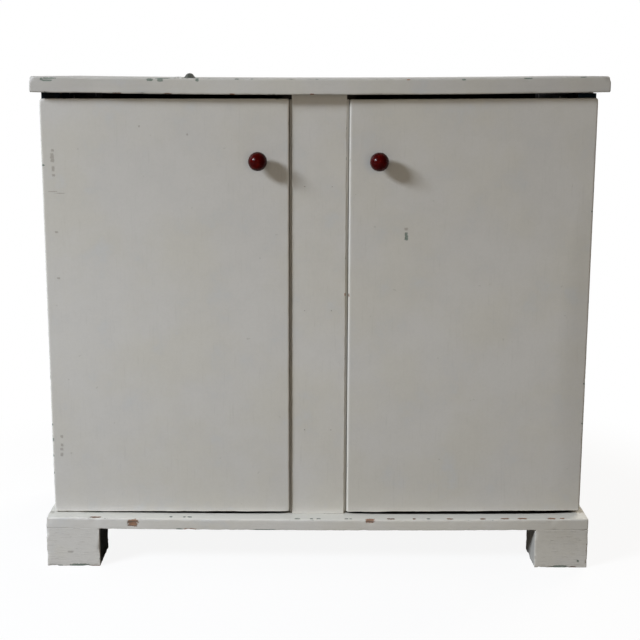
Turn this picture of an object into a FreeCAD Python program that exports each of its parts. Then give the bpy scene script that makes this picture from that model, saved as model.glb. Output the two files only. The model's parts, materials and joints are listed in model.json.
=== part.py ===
import FreeCAD, Part
import os
import re
import Sketcher
from FreeCAD import Placement, Rotation, Vector

# A painted wooden cupboard: a sagging top board, two slab doors either side of a
# fixed centre stile, a base board and four block feet. Millimetres; the front faces
# -Y, +Z is up, and the origin is on the floor under the middle of the cupboard.

doc = FreeCAD.newDocument("cabinet")
sheet = doc.addObject("Spreadsheet::Sheet", "sizes")

SIZES = {
    # The whole carcass
    "cabinet_width": 906,
    "carcass_depth": 380,
    "carcass_height": 715.5,
    # Top board, hanging lower in its middle
    "top_thickness": 25.5,
    "top_sag": 3,
    "top_side_overhang": 13,
    "top_front_overhang": 15,
    "top_edge_radius": 2.5,
    # Base board, which is also the cupboard's floor
    "base_thickness": 18.5,
    "base_side_overhang": 10.5,
    "base_front_overhang": 28,
    "base_edge_radius": 3.5,
    # Block feet
    "foot_height": 66,
    "foot_width": 91,
    "foot_depth": 85,
    "foot_edge_radius": 1.5,
    # Doors
    "door_thickness": 18,
    "door_bottom_gap": 4.5,
    "door_top_gap": 6,
    "door_gap": 1,
    "door_edge_radius": 3,
    # Front frame: centre post, the stile that covers it, and the stiles that carry the hinges
    "stile_width": 90,
    "stile_gap": 4,
    "stile_setback": 4,
    "stile_edge_radius": 1.5,
    "post_width": 120,
    "frame_thickness": 22,
    "hanging_stile_width": 30,
    # Sides, partition and back
    "side_thickness": 18,
    "partition_thickness": 18,
    "back_thickness": 5,
    "back_inset": 4,
    "back_drop": 2,
    # Shelves on their cleats, and the battens that hold the top board
    "shelf_thickness": 16,
    "shelf_height": 345,
    "shelf_setback": 6,
    "shelf_clearance": 1,
    "shelf_edge_radius": 1,
    "cleat_width": 15,
    "cleat_height": 20,
    "batten_width": 20,
    "batten_height": 20,
    "cleat_end_gap": 18,
    # Ball knobs
    "knob_radius": 15,
    "knob_projection": 39,
    "knob_neck_radius": 6.5,
    "knob_collar_radius": 9,
    "knob_collar_thickness": 2.5,
    "knob_inset": 49.5,
    "knob_drop": 101.5,
    "knob_bore_depth": 15,
    "knob_screw_radius": 2,
    "knob_screw_end_gap": 2,
    "knob_screw_head_radius": 4.2,
    "knob_screw_head_height": 2.6,
    # Butt hinges, let into the doors and the hanging stiles
    "hinge_height": 80,
    "hinge_inset": 110,
    "hinge_offset": 0.7,
    "leaf_margin": 2.7,
    "leaf_thickness": 1.5,
    "leaf_gap": 0.3,
    "leaf_fit": 0.1,
    "barrel_radius": 2.5,
    "barrel_clearance": 0.3,
    "knuckle_gap": 0.3,
    "hinge_pin_radius": 1.25,
    "hinge_pin_clearance": 0.05,
    "hinge_pin_head_radius": 2.2,
    "hinge_pin_head_height": 1.2,
    "hinge_screw_end_gap": 12,
    "hinge_screw_radius": 1.6,
    "hinge_screw_cover": 3,
    # Magnetic catches on the post and their strike plates on the doors
    "catch_drop": 165,
    "catch_width": 15,
    "catch_height": 46,
    "catch_depth": 20,
    "magnet_width": 5,
    "magnet_height": 22,
    "magnet_depth": 12,
    "magnet_setback": 0.6,
    "pole_thickness": 1.5,
    "catch_screw_end_gap": 6,
    "catch_screw_radius": 1.5,
    "catch_screw_head_radius": 2.8,
    "catch_screw_bite": 12,
    "strike_width": 12,
    "strike_height": 40,
    "strike_gap": 0.2,
    "strike_screw_end_gap": 5,
    "strike_screw_radius": 1.2,
    "strike_screw_head_radius": 2.2,
    "strike_screw_length": 10,
    # Wood screws through the base and the post, and through cleats and battens
    "carcass_screw_radius": 2.2,
    "carcass_screw_head_radius": 4.2,
    "carcass_screw_bite": 26,
    "carcass_screw_foot_gap": 31,
    "post_screw_share": 0.33,
    "batten_screw_radius": 2,
    "batten_screw_head_radius": 3.8,
    "batten_screw_bite": 9,
    "batten_screw_near_share": 0.55,
    "batten_screw_far_share": 0.75,
    "batten_screw_step": 22,
    "foot_screw_radius": 2.5,
    "foot_screw_head_radius": 4.8,
    "foot_screw_grip": 28,
    "foot_screw_bite": 12,
    "foot_screw_spacing": 40,
    "foot_bore_radius": 5.5,
    "screw_slot_width": 0.8,
    "screw_slot_depth": 0.7,
    "screw_clearance": 0.05,
    # Dowels, stile pins and back pins
    "dowel_radius": 4,
    "dowel_depth": 15,
    "dowel_bite": 25,
    "dowel_share": 0.17,
    "stile_pin_radius": 0.8,
    "stile_pin_cover": 1.5,
    "stile_pin_bite": 16,
    "stile_pin_share": 0.29,
    "back_pin_radius": 0.9,
    "back_pin_head_radius": 1.8,
    "back_pin_head_height": 0.8,
    "back_pin_length": 20,
    "back_pin_end_gap": 35,
    # One overrun for every cutter that has to break through a face
    "overrun": 2,
}

# How many of each fastener stand in a row
STILE_PINS_IN_A_ROW = 3
BACK_PINS_IN_A_ROW = 7

# Places and widths that follow from the sizes
PLACES = {
    "half_width": "cabinet_width / 2",
    "half_top": "half_width + top_side_overhang",
    "half_base": "half_width + base_side_overhang",
    "half_post": "post_width / 2",
    "half_partition": "partition_thickness / 2",
    "side_inner": "half_width - side_thickness",
    "hanging_inner": "half_width - hanging_stile_width",
    "door_inner": "stile_width / 2 + stile_gap",
    "body_depth": "door_thickness + door_gap + carcass_depth + back_thickness",
    "door_front": "(knob_projection - body_depth) / 2",
    "door_back": "door_front + door_thickness",
    "frame_front": "door_back + door_gap",
    "frame_back": "frame_front + frame_thickness",
    "carcass_back": "frame_front + carcass_depth",
    "rear_face": "carcass_back + back_thickness",
    "top_front": "door_front - top_front_overhang",
    "base_front": "door_front - base_front_overhang",
    "stile_front": "door_front + stile_setback",
    "side_middle": "(frame_back + carcass_back) / 2",
    "base_middle": "(base_front + rear_face) / 2",
    "floor_top": "foot_height + base_thickness",
    "underside": "floor_top + carcass_height",
    "mid_height": "floor_top + carcass_height / 2",
    "door_bottom": "floor_top + door_bottom_gap",
    "door_top": "underside - door_top_gap",
    "sag_radius": "(half_top ^ 2 + top_sag ^ 2) / (2 * top_sag)",
    "side_top": "underside + sag_radius - sqrt(sag_radius ^ 2 - side_inner ^ 2)",
    "hanging_top": "underside + sag_radius - sqrt(sag_radius ^ 2 - hanging_inner ^ 2)",
    "batten_inner": "side_inner - batten_width",
    "batten_top": "underside + sag_radius - sqrt(sag_radius ^ 2 - batten_inner ^ 2)",
    "back_top": "underside - back_drop",
    "shelf_top": "floor_top + shelf_height",
    "shelf_bottom": "shelf_top - shelf_thickness",
    "cleat_middle": "shelf_bottom - cleat_height / 2",
    "cleat_front": "frame_back + cleat_end_gap",
    "cleat_back": "carcass_back - cleat_end_gap",
    "half_cleat": "(cleat_back - cleat_front) / 2",
    "hinge_x": "half_width + hinge_offset",
    "hinge_y": "door_back + door_gap / 2",
    "upper_hinge": "door_top - hinge_inset",
    "lower_hinge": "door_bottom + hinge_inset",
    "knob_x": "door_inner + knob_inset",
    "knob_z": "door_top - knob_drop",
    "knob_centre": "knob_projection - knob_radius",
    "catch_x": "half_post + catch_width / 2",
    "catch_z": "door_top - catch_drop",
    "plate_relief": "barrel_radius + barrel_clearance",
    "notch_radius": "plate_relief + leaf_fit",
    "half_notch": "hinge_height / 2 + hinge_pin_head_height + barrel_clearance",
    "leaf_width": "hanging_stile_width + hinge_offset - leaf_margin",
    "leaf_reach": "leaf_gap / 2 + leaf_thickness",
    "knuckle_height": "hinge_height / 3 - knuckle_gap",
    "hinge_screw_line": "(leaf_width + plate_relief) / 2",
    "hinge_screw_spacing": "hinge_height / 2 - hinge_screw_end_gap",
    "hinge_screw_head_radius": "hinge_screw_radius + leaf_thickness",
    "hinge_screw_length": "door_thickness - hinge_screw_cover",
    "knob_screw_length": "door_thickness + knob_bore_depth - knob_screw_end_gap",
    "strike_thickness": "door_gap - strike_gap",
    "strike_screw_spacing": "strike_height / 2 - strike_screw_end_gap",
    "catch_screw_spacing": "catch_height / 2 - catch_screw_end_gap",
    "catch_screw_length": "catch_width + catch_screw_bite",
    "carcass_screw_length": "base_thickness + carcass_screw_bite",
    "carcass_screw_spacing": "(rear_face - base_front) / 2 - foot_depth - carcass_screw_foot_gap",
    "post_screw_spacing": "carcass_height * post_screw_share",
    "batten_screw_length": "batten_width + batten_screw_bite",
    "batten_screw_near": "half_cleat * batten_screw_near_share",
    "batten_screw_far": "half_cleat * batten_screw_far_share",
    "foot_screw_length": "foot_screw_grip + foot_screw_bite",
    "foot_screw_seat": "foot_height - foot_screw_grip",
    "dowel_length": "dowel_depth + dowel_bite",
    "dowel_spacing": "carcass_height * dowel_share",
    "stile_pin_length": "frame_front - stile_front - stile_pin_cover + stile_pin_bite",
    "stile_pin_spacing": "carcass_height * stile_pin_share",
}

# The two sides of the cupboard, as seen from the front, and the ways that fasteners point
SIDES = {-1: "left", 1: "right"}
UP = Vector(0, 0, 1)
BACKWARD, FORWARD = Vector(0, 1, 0), Vector(0, -1, 0)
HINGES = ("upper_hinge", "lower_hinge")
nodes = []


def keep(*pieces):
    nodes.extend(pieces)


# The sheet and the formulas
def fill_sheet():
    for row, (name, number) in enumerate(SIZES.items(), start=1):
        sheet.set(f"A{row}", name)
        sheet.set(f"B{row}", str(number))
        sheet.setAlias(f"B{row}", name)
    doc.recompute()


def formula(text):
    """Writes a rule in plain names as an expression on the sheet's cells."""
    def spell(match):
        name = match.group(0)
        if name in PLACES:
            return "(" + formula(PLACES[name]) + ")"
        if name in SIZES:
            return "sizes." + name
        return name
    return re.sub(r"[a-z_]+", spell, text)


def value(text):
    return float(sheet.evalExpression(formula(text)))


def bind(thing, field, text):
    thing.setExpression(field, formula(text))


def put(thing, x, y, z):
    bind(thing, "Placement.Base.x", x)
    bind(thing, "Placement.Base.y", y)
    bind(thing, "Placement.Base.z", z)


def spot(x, y, z):
    return Vector(value(x), value(y), value(z))


# Boards
def new_body(name):
    body = doc.addObject("PartDesign::Body", name)
    body.Label = name
    return body


def new_sketch(body, role):
    sketch = body.newObject("Sketcher::SketchObject", body.Name + "_outline")
    plane = next(item for item in body.Origin.OriginFeatures if item.Role == role)
    sketch.AttachmentSupport = [(plane, "")]
    sketch.MapMode = "FlatFace"
    return sketch


def measure(sketch, kind, where, text, name):
    """A dimension of a sketch, bound to the sheet."""
    number = sketch.addConstraint(Sketcher.Constraint(kind, *where, value(text)))
    sketch.renameConstraint(number, name)
    bind(sketch, "Constraints." + name, text)


def rectangle(sketch, width, depth):
    w, d = value(width), value(depth)
    corners = [Vector(0, 0, 0), Vector(w, 0, 0), Vector(w, d, 0), Vector(0, d, 0)]
    for corner, after in zip(corners, corners[1:] + corners[:1]):
        sketch.addGeometry(Part.LineSegment(corner, after))
    for line in range(4):
        sketch.addConstraint(Sketcher.Constraint("Coincident", line, 2, (line + 1) % 4, 1))
        sketch.addConstraint(Sketcher.Constraint("Vertical" if line % 2 else "Horizontal", line))
    sketch.addConstraint(Sketcher.Constraint("Coincident", 0, 1, -1, 1))
    measure(sketch, "DistanceX", (0, 1, 0, 2), width, "width")
    measure(sketch, "DistanceY", (1, 1, 1, 2), depth, "depth")


def ease(body, radius, wanted=None):
    """Rounds a body's edges: all of them, or those that pass the test."""
    doc.recompute()
    solid = body.Tip
    rounding = body.newObject("PartDesign::Fillet", body.Name + "_rounding")
    edges = [f"Edge{number}" for number, edge in enumerate(solid.Shape.Edges, start=1)
             if wanted is None or wanted(edge, solid.Shape.BoundBox)]
    rounding.Base = (solid, edges)
    bind(rounding, "Radius", radius)
    body.Tip = rounding


def board(name, x, y, z):
    """A sawn board between two formulas along each axis."""
    spans = [f"({high}) - ({low})" for low, high in (x, y, z)]
    body = new_body(name)
    sketch = new_sketch(body, "XY_Plane")
    rectangle(sketch, spans[0], spans[1])
    pad = body.newObject("PartDesign::Pad", name + "_pad")
    pad.Profile = sketch
    bind(pad, "Length", spans[2])
    put(body, x[0], y[0], z[0])
    return body


def across(side, inner, outer):
    """The span of a piece on one side of the cupboard, left (-1) or right (1)."""
    if side > 0:
        return inner, outer
    return f"-({outer})", f"-({inner})"


def signed(side, text):
    return text if side > 0 else f"-({text})"


def on_front(edge, box):
    return edge.BoundBox.YMax < (box.YMin + box.YMax) / 2


def front_upright(edge, box):
    upright = edge.BoundBox.ZLength > box.ZLength / 2
    return upright and on_front(edge, box)


def above_and_forward(edge, box):
    behind = edge.BoundBox.YMin > (box.YMin + box.YMax) / 2
    return edge.BoundBox.ZMin > (box.ZMin + box.ZMax) / 2 and not behind


# Solids of one primitive each
def block(name, x, y, z):
    solid = doc.addObject("Part::Box", name)
    solid.Label = name
    for field, (low, high) in zip(("Length", "Width", "Height"), (x, y, z)):
        bind(solid, field, f"({high}) - ({low})")
    put(solid, x[0], y[0], z[0])
    return solid


def rod(name, radius, x, y, z):
    """An upright cylinder; z gives its two ends."""
    solid = doc.addObject("Part::Cylinder", name)
    solid.Label = name
    bind(solid, "Radius", radius)
    bind(solid, "Height", f"({z[1]}) - ({z[0]})")
    put(solid, x, y, z[0])
    return solid


def lying_rod(name, radius, x, y, z):
    """A cylinder from front to back; y gives its two ends."""
    solid = doc.addObject("Part::Cylinder", name)
    solid.Label = name
    bind(solid, "Radius", radius)
    bind(solid, "Height", f"({y[1]}) - ({y[0]})")
    solid.Placement.Rotation = Rotation(UP, FORWARD)
    put(solid, x, y[1], z)
    return solid


def joined(name, pieces):
    union = doc.addObject("Part::MultiFuse", name)
    union.Label = name
    union.Shapes = pieces
    return union


def gathered(name, pieces):
    group = doc.addObject("Part::Compound", name)
    group.Label = name
    group.Links = pieces
    return group


def cut(name, whole, cutters):
    """The piece that is left when cutters have been taken out of a whole one."""
    remainder = doc.addObject("Part::Cut", name)
    whole.Label = name + "_blank"
    remainder.Label = name
    remainder.Base = whole
    remainder.Tool = cutters[0] if len(cutters) == 1 else gathered(name + "_cutters", cutters)
    return remainder


# Fasteners: one pattern piece, copied to every place, and the holes that the copies need
def wood_screw(name, kind, slotted, clearance):
    """A countersunk screw along +Z with its head's face at zero, or the hole for it."""
    radius = f"{kind}_radius + {clearance}"
    head_radius = f"{kind}_head_radius + {clearance}"
    head_height = f"({kind}_head_radius - {kind}_radius)"
    head = doc.addObject("Part::Cone", name + "_head")
    bind(head, "Radius1", head_radius)
    bind(head, "Radius2", radius)
    bind(head, "Height", head_height)
    shank = rod(name + "_shank", radius, "0", "0", (head_height, f"{kind}_length + {clearance}"))
    screw = joined(name, [head, shank])
    if not slotted:
        return screw
    slot = block(name + "_slot", (f"-{kind}_head_radius", f"{kind}_head_radius"),
                 ("-screw_slot_width / 2", "screw_slot_width / 2"), ("0", "screw_slot_depth"))
    return cut(name + "_slotted", screw, [slot])


def headed_pin(name, kind, clearance):
    """A flat-headed pin along +Z with its head's face at zero, or the hole for it."""
    head = rod(name + "_head", f"{kind}_head_radius + {clearance}", "0", "0",
               ("0", f"{kind}_head_height"))
    shank = rod(name + "_shank", f"{kind}_radius + {clearance}", "0", "0",
                (f"{kind}_head_height", f"{kind}_length + {clearance}"))
    return joined(name, [head, shank])


def plain_pin(name, kind, clearance):
    ends = f"-{clearance}", f"{kind}_length + {clearance}"
    return rod(name, f"{kind}_radius + {clearance}", "0", "0", ends)


def copies(name, pattern, places):
    """Copies of a pattern piece, each turned from +Z to its own direction."""
    doc.recompute()
    solids = []
    for point, direction in places:
        copy = pattern.Shape.copy()
        copy.Placement = Placement(point, Rotation(UP, direction))
        solids.append(copy)
    group = doc.addObject("Part::Feature", name)
    group.Shape = Part.makeCompound(solids)
    group.Label = name
    return group


def screws(name, kind, places):
    """A group of screws and the holes that they need."""
    pattern = wood_screw(name + "_pattern", kind, True, "0")
    hole = wood_screw(name + "_hole", kind, False, "screw_clearance")
    return copies(name, pattern, places), copies(name + "_holes", hole, places)


def pins(name, kind, shape, places):
    """A group of pins or dowels of one shape and the holes that they need."""
    pattern = shape(name + "_pattern", kind, "0")
    hole = shape(name + "_hole", kind, "screw_clearance")
    return copies(name, pattern, places), copies(name + "_holes", hole, places)


# Where every screw, dowel and pin goes
def carcass_screw_places():
    """Up through the base into sides, partition and post, and back through the post."""
    places = []
    for step in (-1, 0, 1):
        y = f"base_middle + {step} * carcass_screw_spacing"
        for side in SIDES:
            x = signed(side, "half_width - side_thickness / 2")
            places.append((spot(x, y, "foot_height"), UP))
        places.append((spot("0", y, "foot_height"), UP))
        z = f"mid_height + {step} * post_screw_spacing"
        places.append((spot("0", "frame_front", z), BACKWARD))
    for side in SIDES:
        x = signed(side, "post_width / 3")
        places.append((spot(x, "frame_front + frame_thickness / 2", "foot_height"), UP))
    return places


def batten_screw_places():
    """Up through each top batten, and sideways through every batten and shelf cleat."""
    places = []
    for side in SIDES:
        outward = Vector(side, 0, 0)
        first, second = ("near", "far") if side > 0 else ("far", "near")
        for y in (f"side_middle - batten_screw_{first}", f"side_middle + batten_screw_{second}"):
            upright = f"{y} + batten_screw_step"
            outer_middle = signed(side, "side_inner - batten_width / 2")
            inner_middle = signed(side, "half_partition + batten_width / 2")
            places.append((spot(outer_middle, upright, "batten_top - batten_height"), UP))
            places.append((spot(inner_middle, upright, "underside - batten_height"), UP))
            outer_face = signed(side, "batten_inner")
            inner_face = signed(side, "half_partition + batten_width")
            places.append((spot(outer_face, y, "batten_top - batten_height / 2"), outward))
            places.append((spot(inner_face, y, "underside - batten_height / 2"), -outward))
            outer_cleat = signed(side, "side_inner - cleat_width")
            inner_cleat = signed(side, "half_partition + cleat_width")
            places.append((spot(outer_cleat, y, "cleat_middle"), outward))
            places.append((spot(inner_cleat, y, "cleat_middle"), -outward))
    return places


def foot_screw_places():
    places = []
    for side in SIDES:
        for y in ("base_front + foot_depth / 2", "rear_face - foot_depth / 2"):
            for step in (-1, 1):
                offset = f"{step} * foot_screw_spacing / 2"
                x = signed(side, f"half_base - foot_width / 2 + {offset}")
                places.append((spot(x, f"{y} + {offset}", "foot_screw_seat"), UP))
    return places


def dowel_places():
    places = []
    for side in SIDES:
        x = signed(side, "half_width - side_thickness / 2")
        for step in (-1, 0, 1):
            z = f"mid_height + {step} * dowel_spacing"
            places.append((spot(x, "frame_back - dowel_depth", z), BACKWARD))
    return places


def stile_pin_places():
    places = []
    for side in SIDES:
        x = signed(side, "stile_width / 4")
        for step in range(STILE_PINS_IN_A_ROW):
            z = f"mid_height + ({step} - ({STILE_PINS_IN_A_ROW} - 1) / 2) * stile_pin_spacing"
            places.append((spot(x, "stile_front + stile_pin_cover", z), BACKWARD))
    return places


def back_pin_places():
    """Rows of pins through the back into both sides and the partition."""
    places = []
    gaps = BACK_PINS_IN_A_ROW - 1
    run = "(back_top - floor_top - 2 * back_pin_end_gap)"
    for x in ("-half_width + side_thickness / 2", "0", "half_width - side_thickness / 2"):
        for step in range(BACK_PINS_IN_A_ROW):
            z = f"floor_top + back_pin_end_gap + {run} * {step} / {gaps}"
            places.append((spot(x, "rear_face", z), FORWARD))
    return places


def hinge_screw_places(side, face, direction):
    places = []
    x = signed(side, "hinge_x - hinge_screw_line")
    for hinge in HINGES:
        for step in (-1, 0, 1):
            z = f"{hinge} + {step} * hinge_screw_spacing"
            places.append((spot(x, face, z), direction))
    return places


def catch_screw_places():
    places = []
    for side in SIDES:
        x = signed(side, "half_post + catch_width")
        for step in (-1, 1):
            z = f"catch_z + {step} * catch_screw_spacing"
            places.append((spot(x, "frame_front + catch_depth / 2", z), Vector(-side, 0, 0)))
    return places


def strike_screw_places(side):
    places = []
    x = signed(side, "catch_x")
    for step in (-1, 1):
        z = f"catch_z + {step} * strike_screw_spacing"
        places.append((spot(x, "door_back + strike_thickness", z), FORWARD))
    return places


# Top board, bent down in its middle: a long arc above another, padded from front to back
def top_board():
    body = new_body("top_board")
    sketch = new_sketch(body, "XZ_Plane")
    half, sag, thick = value("half_top"), value("top_sag"), value("top_thickness")
    low = [Vector(-half, sag, 0), Vector(0, 0, 0), Vector(half, sag, 0)]
    high = [point + Vector(0, thick, 0) for point in low]
    sketch.addGeometry(Part.Arc(*low))
    sketch.addGeometry(Part.LineSegment(low[2], high[2]))
    sketch.addGeometry(Part.Arc(*high))
    sketch.addGeometry(Part.LineSegment(high[0], low[0]))
    for first, end, second, start in ((0, 2, 1, 1), (1, 2, 2, 2), (2, 1, 3, 1), (3, 2, 0, 1)):
        sketch.addConstraint(Sketcher.Constraint("Coincident", first, end, second, start))
    sketch.addConstraint(Sketcher.Constraint("Vertical", 1))
    for arc in (0, 2):
        sketch.addConstraint(Sketcher.Constraint("Symmetric", arc, 1, arc, 2, -2))
    sketch.addConstraint(Sketcher.Constraint("PointOnObject", -1, 1, 0))
    measure(sketch, "DistanceX", (0, 1, 0, 2), "2 * half_top", "width")
    measure(sketch, "Radius", (0,), "sag_radius", "underside_radius")
    measure(sketch, "Radius", (2,), "sag_radius", "surface_radius")
    measure(sketch, "DistanceY", (1, 1, 1, 2), "top_thickness", "thickness")
    pad = body.newObject("PartDesign::Pad", "top_board_pad")
    pad.Profile = sketch
    pad.Reversed = True
    bind(pad, "Length", "rear_face - top_front")
    put(body, "0", "top_front", "underside")
    ease(body, "top_edge_radius")
    return body


# Base board and feet
def base_board():
    body = board("base_board", ("-half_base", "half_base"), ("base_front", "rear_face"),
                 ("foot_height", "floor_top"))
    ease(body, "base_edge_radius", above_and_forward)
    return body


def foot(side, end):
    span = {"front": ("base_front", "base_front + foot_depth"),
            "back": ("rear_face - foot_depth", "rear_face")}[end]
    body = board(f"{end}_{SIDES[side]}_foot", across(side, "half_base - foot_width", "half_base"),
                 span, ("0", "foot_height"))
    ease(body, "foot_edge_radius")
    return body


def foot_bores():
    """Deep bores from below, at whose ends the foot screws' heads sit."""
    bore = rod("foot_bore", "foot_bore_radius", "0", "0", ("-foot_screw_seat - overrun", "0"))
    return copies("foot_bores", bore, foot_screw_places())


# Sides, front frame, partition and back
def side_board(side):
    return board(f"{SIDES[side]}_side", across(side, "side_inner", "half_width"),
                 ("frame_back", "carcass_back"), ("floor_top", "side_top"))


def hanging_stile(side):
    return board(f"{SIDES[side]}_hanging_stile", across(side, "hanging_inner", "half_width"),
                 ("frame_front", "frame_back"), ("floor_top", "hanging_top"))


def centre_post():
    return board("centre_post", ("-half_post", "half_post"), ("frame_front", "frame_back"),
                 ("floor_top", "underside"))


def centre_stile():
    body = board("centre_stile", ("-stile_width / 2", "stile_width / 2"),
                 ("stile_front", "frame_front"), ("floor_top", "underside"))
    ease(body, "stile_edge_radius", front_upright)
    return body


def centre_partition():
    return board("centre_partition", ("-half_partition", "half_partition"),
                 ("frame_back", "carcass_back"), ("floor_top", "underside"))


def back_panel():
    return board("back_panel", ("back_inset - half_width", "half_width - back_inset"),
                 ("carcass_back", "rear_face"), ("floor_top", "back_top"))


# Shelves, the cleats under them and the battens under the top
def shelf(side):
    body = board(f"{SIDES[side]}_shelf",
                 across(side, "half_partition + shelf_clearance", "side_inner - shelf_clearance"),
                 ("frame_back + shelf_setback", "carcass_back - shelf_clearance"),
                 ("shelf_bottom", "shelf_top"))
    ease(body, "shelf_edge_radius", on_front)
    return body


def shelf_cleat(side, where):
    inner, outer = {"outer": ("side_inner - cleat_width", "side_inner"),
                    "inner": ("half_partition", "half_partition + cleat_width")}[where]
    return board(f"{SIDES[side]}_{where}_shelf_cleat", across(side, inner, outer),
                 ("cleat_front", "cleat_back"), ("shelf_bottom - cleat_height", "shelf_bottom"))


def top_batten(side, where):
    inner, outer, top = {
        "outer": ("batten_inner", "side_inner", "batten_top"),
        "inner": ("half_partition", "half_partition + batten_width", "underside")}[where]
    return board(f"{SIDES[side]}_{where}_top_batten", across(side, inner, outer),
                 ("cleat_front", "cleat_back"), (f"{top} - batten_height", top))


# Doors and knobs
def door_panel(side):
    body = board(f"{SIDES[side]}_door_panel", across(side, "door_inner", "half_width"),
                 ("door_front", "door_back"), ("door_bottom", "door_top"))
    ease(body, "door_edge_radius", on_front)
    return body


def knob(side):
    """A turned ball on a neck and collar: half of its outline, turned round the knob's axis."""
    name = SIDES[side] + "_knob"
    body = new_body(name)
    sketch = new_sketch(body, "XY_Plane")
    collar, neck, ball = value("knob_collar_radius"), value("knob_neck_radius"), value("knob_radius")
    base, centre, front = value("knob_collar_thickness"), value("knob_centre"), value("knob_projection")
    joint = centre - (ball ** 2 - neck ** 2) ** 0.5
    outline = [Vector(0, 0, 0), Vector(collar, 0, 0), Vector(collar, -base, 0),
               Vector(neck, -base, 0), Vector(neck, -joint, 0)]
    for point, after in zip(outline, outline[1:]):
        sketch.addGeometry(Part.LineSegment(point, after))
    sketch.addGeometry(Part.Arc(outline[-1], Vector(ball, -centre, 0), Vector(0, -front, 0)))
    sketch.addGeometry(Part.LineSegment(Vector(0, -front, 0), outline[0]))
    for line, kind in enumerate(("Horizontal", "Vertical", "Horizontal", "Vertical")):
        sketch.addConstraint(Sketcher.Constraint(kind, line))
        sketch.addConstraint(Sketcher.Constraint("Coincident", line, 2, line + 1, 2 if line == 3 else 1))
    sketch.addConstraint(Sketcher.Constraint("Coincident", 4, 1, 5, 1))
    sketch.addConstraint(Sketcher.Constraint("Coincident", 5, 2, 0, 1))
    sketch.addConstraint(Sketcher.Constraint("Coincident", 0, 1, -1, 1))
    sketch.addConstraint(Sketcher.Constraint("PointOnObject", 4, 3, -2))
    sketch.addConstraint(Sketcher.Constraint("PointOnObject", 4, 1, -2))
    measure(sketch, "DistanceX", (0, 1, 0, 2), "knob_collar_radius", "collar")
    measure(sketch, "DistanceY", (1, 2, 1, 1), "knob_collar_thickness", "collar_thickness")
    measure(sketch, "DistanceX", (0, 1, 3, 1), "knob_neck_radius", "neck")
    measure(sketch, "Radius", (4,), "knob_radius", "ball")
    measure(sketch, "DistanceY", (4, 3, 0, 1), "knob_centre", "ball_centre")
    turned = body.newObject("PartDesign::Revolution", name + "_turning")
    turned.Profile = sketch
    turned.ReferenceAxis = (sketch, ["V_Axis"])
    bore = lying_rod(name + "_bore", "knob_screw_radius + screw_clearance", "0",
                     ("-knob_bore_depth", "overrun"), "0")
    piece = cut(name, body, [bore])
    put(piece, signed(side, "knob_x"), "door_front", "knob_z")
    return piece


def knob_screw(side):
    """A slotted screw from the door's back face into the knob, its flat head standing proud."""
    name = SIDES[side] + "_knob_screw"
    x = signed(side, "knob_x")
    head_face = "door_back + knob_screw_head_height"
    head = lying_rod(name + "_head", "knob_screw_head_radius", x, ("door_back", head_face), "knob_z")
    shank = lying_rod(name + "_shank", "knob_screw_radius", x,
                      ("door_back - knob_screw_length", "door_back"), "knob_z")
    slot = block(name + "_slot",
                 (f"{x} - knob_screw_head_radius", f"{x} + knob_screw_head_radius"),
                 (f"{head_face} - screw_slot_depth", head_face),
                 ("knob_z - screw_slot_width / 2", "knob_z + screw_slot_width / 2"))
    return cut(name, joined(name + "_solid", [head, shank]), [slot])


def knob_hole(side):
    return lying_rod(SIDES[side] + "_knob_hole", "knob_screw_radius + screw_clearance",
                     signed(side, "knob_x"), ("door_front - overrun", "door_back + overrun"), "knob_z")


# Butt hinges: plates let into door and stile, and a barrel of three knuckles on one pin
def knuckle_spans(hinge, moving):
    """The door leaf has the middle knuckle, the fixed leaf the two outer ones."""
    middle = f"{hinge} - knuckle_height / 2", f"{hinge} + knuckle_height / 2"
    if moving:
        return [middle]
    return [(f"{hinge} - hinge_height / 2", f"{middle[0]} - knuckle_gap"),
            (f"{middle[1]} + knuckle_gap", f"{hinge} + hinge_height / 2")]


def leaf_depth(moving):
    """Where a leaf lies, from the middle of the joint towards the door or the stile."""
    if moving:
        return "hinge_y - leaf_reach", "hinge_y - leaf_gap / 2"
    return "hinge_y + leaf_gap / 2", "hinge_y + leaf_reach"


def hinge_leaf(side, hinge, moving, screw_holes):
    name = f"{SIDES[side]}_{hinge}_{'door' if moving else 'fixed'}_leaf"
    axis = signed(side, "hinge_x")
    ends = f"{hinge} - hinge_height / 2", f"{hinge} + hinge_height / 2"
    past = f"{ends[0]} - overrun", f"{ends[1]} + overrun"
    plate = block(name + "_sheet", across(side, "hinge_x - leaf_width", "hinge_x"), leaf_depth(moving), ends)
    relief = rod(name + "_relief", "plate_relief", axis, "hinge_y", past)
    pieces = [cut(name + "_plate", plate, [relief])]
    for number, span in enumerate(knuckle_spans(hinge, moving)):
        pieces.append(rod(f"{name}_knuckle_{number}", "barrel_radius", axis, "hinge_y", span))
        pieces.append(block(f"{name}_web_{number}", across(side, "hinge_x - plate_relief", "hinge_x"),
                            leaf_depth(moving), span))
    pin_hole = rod(name + "_pin_hole", "hinge_pin_radius + hinge_pin_clearance", axis, "hinge_y", past)
    return cut(name, joined(name + "_solid", pieces), [pin_hole, screw_holes])


def hinge_pin(side, hinge):
    name = f"{SIDES[side]}_{hinge}_pin"
    axis = signed(side, "hinge_x")
    low, high = f"{hinge} - hinge_height / 2", f"{hinge} + hinge_height / 2"
    shank = rod(name + "_shank", "hinge_pin_radius", axis, "hinge_y", (low, high))
    foot_button = rod(name + "_foot", "hinge_pin_head_radius", axis, "hinge_y",
                      (f"{low} - hinge_pin_head_height", low))
    head_button = rod(name + "_head", "hinge_pin_head_radius", axis, "hinge_y",
                      (high, f"{high} + hinge_pin_head_height"))
    return joined(name, [shank, foot_button, head_button])


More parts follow.
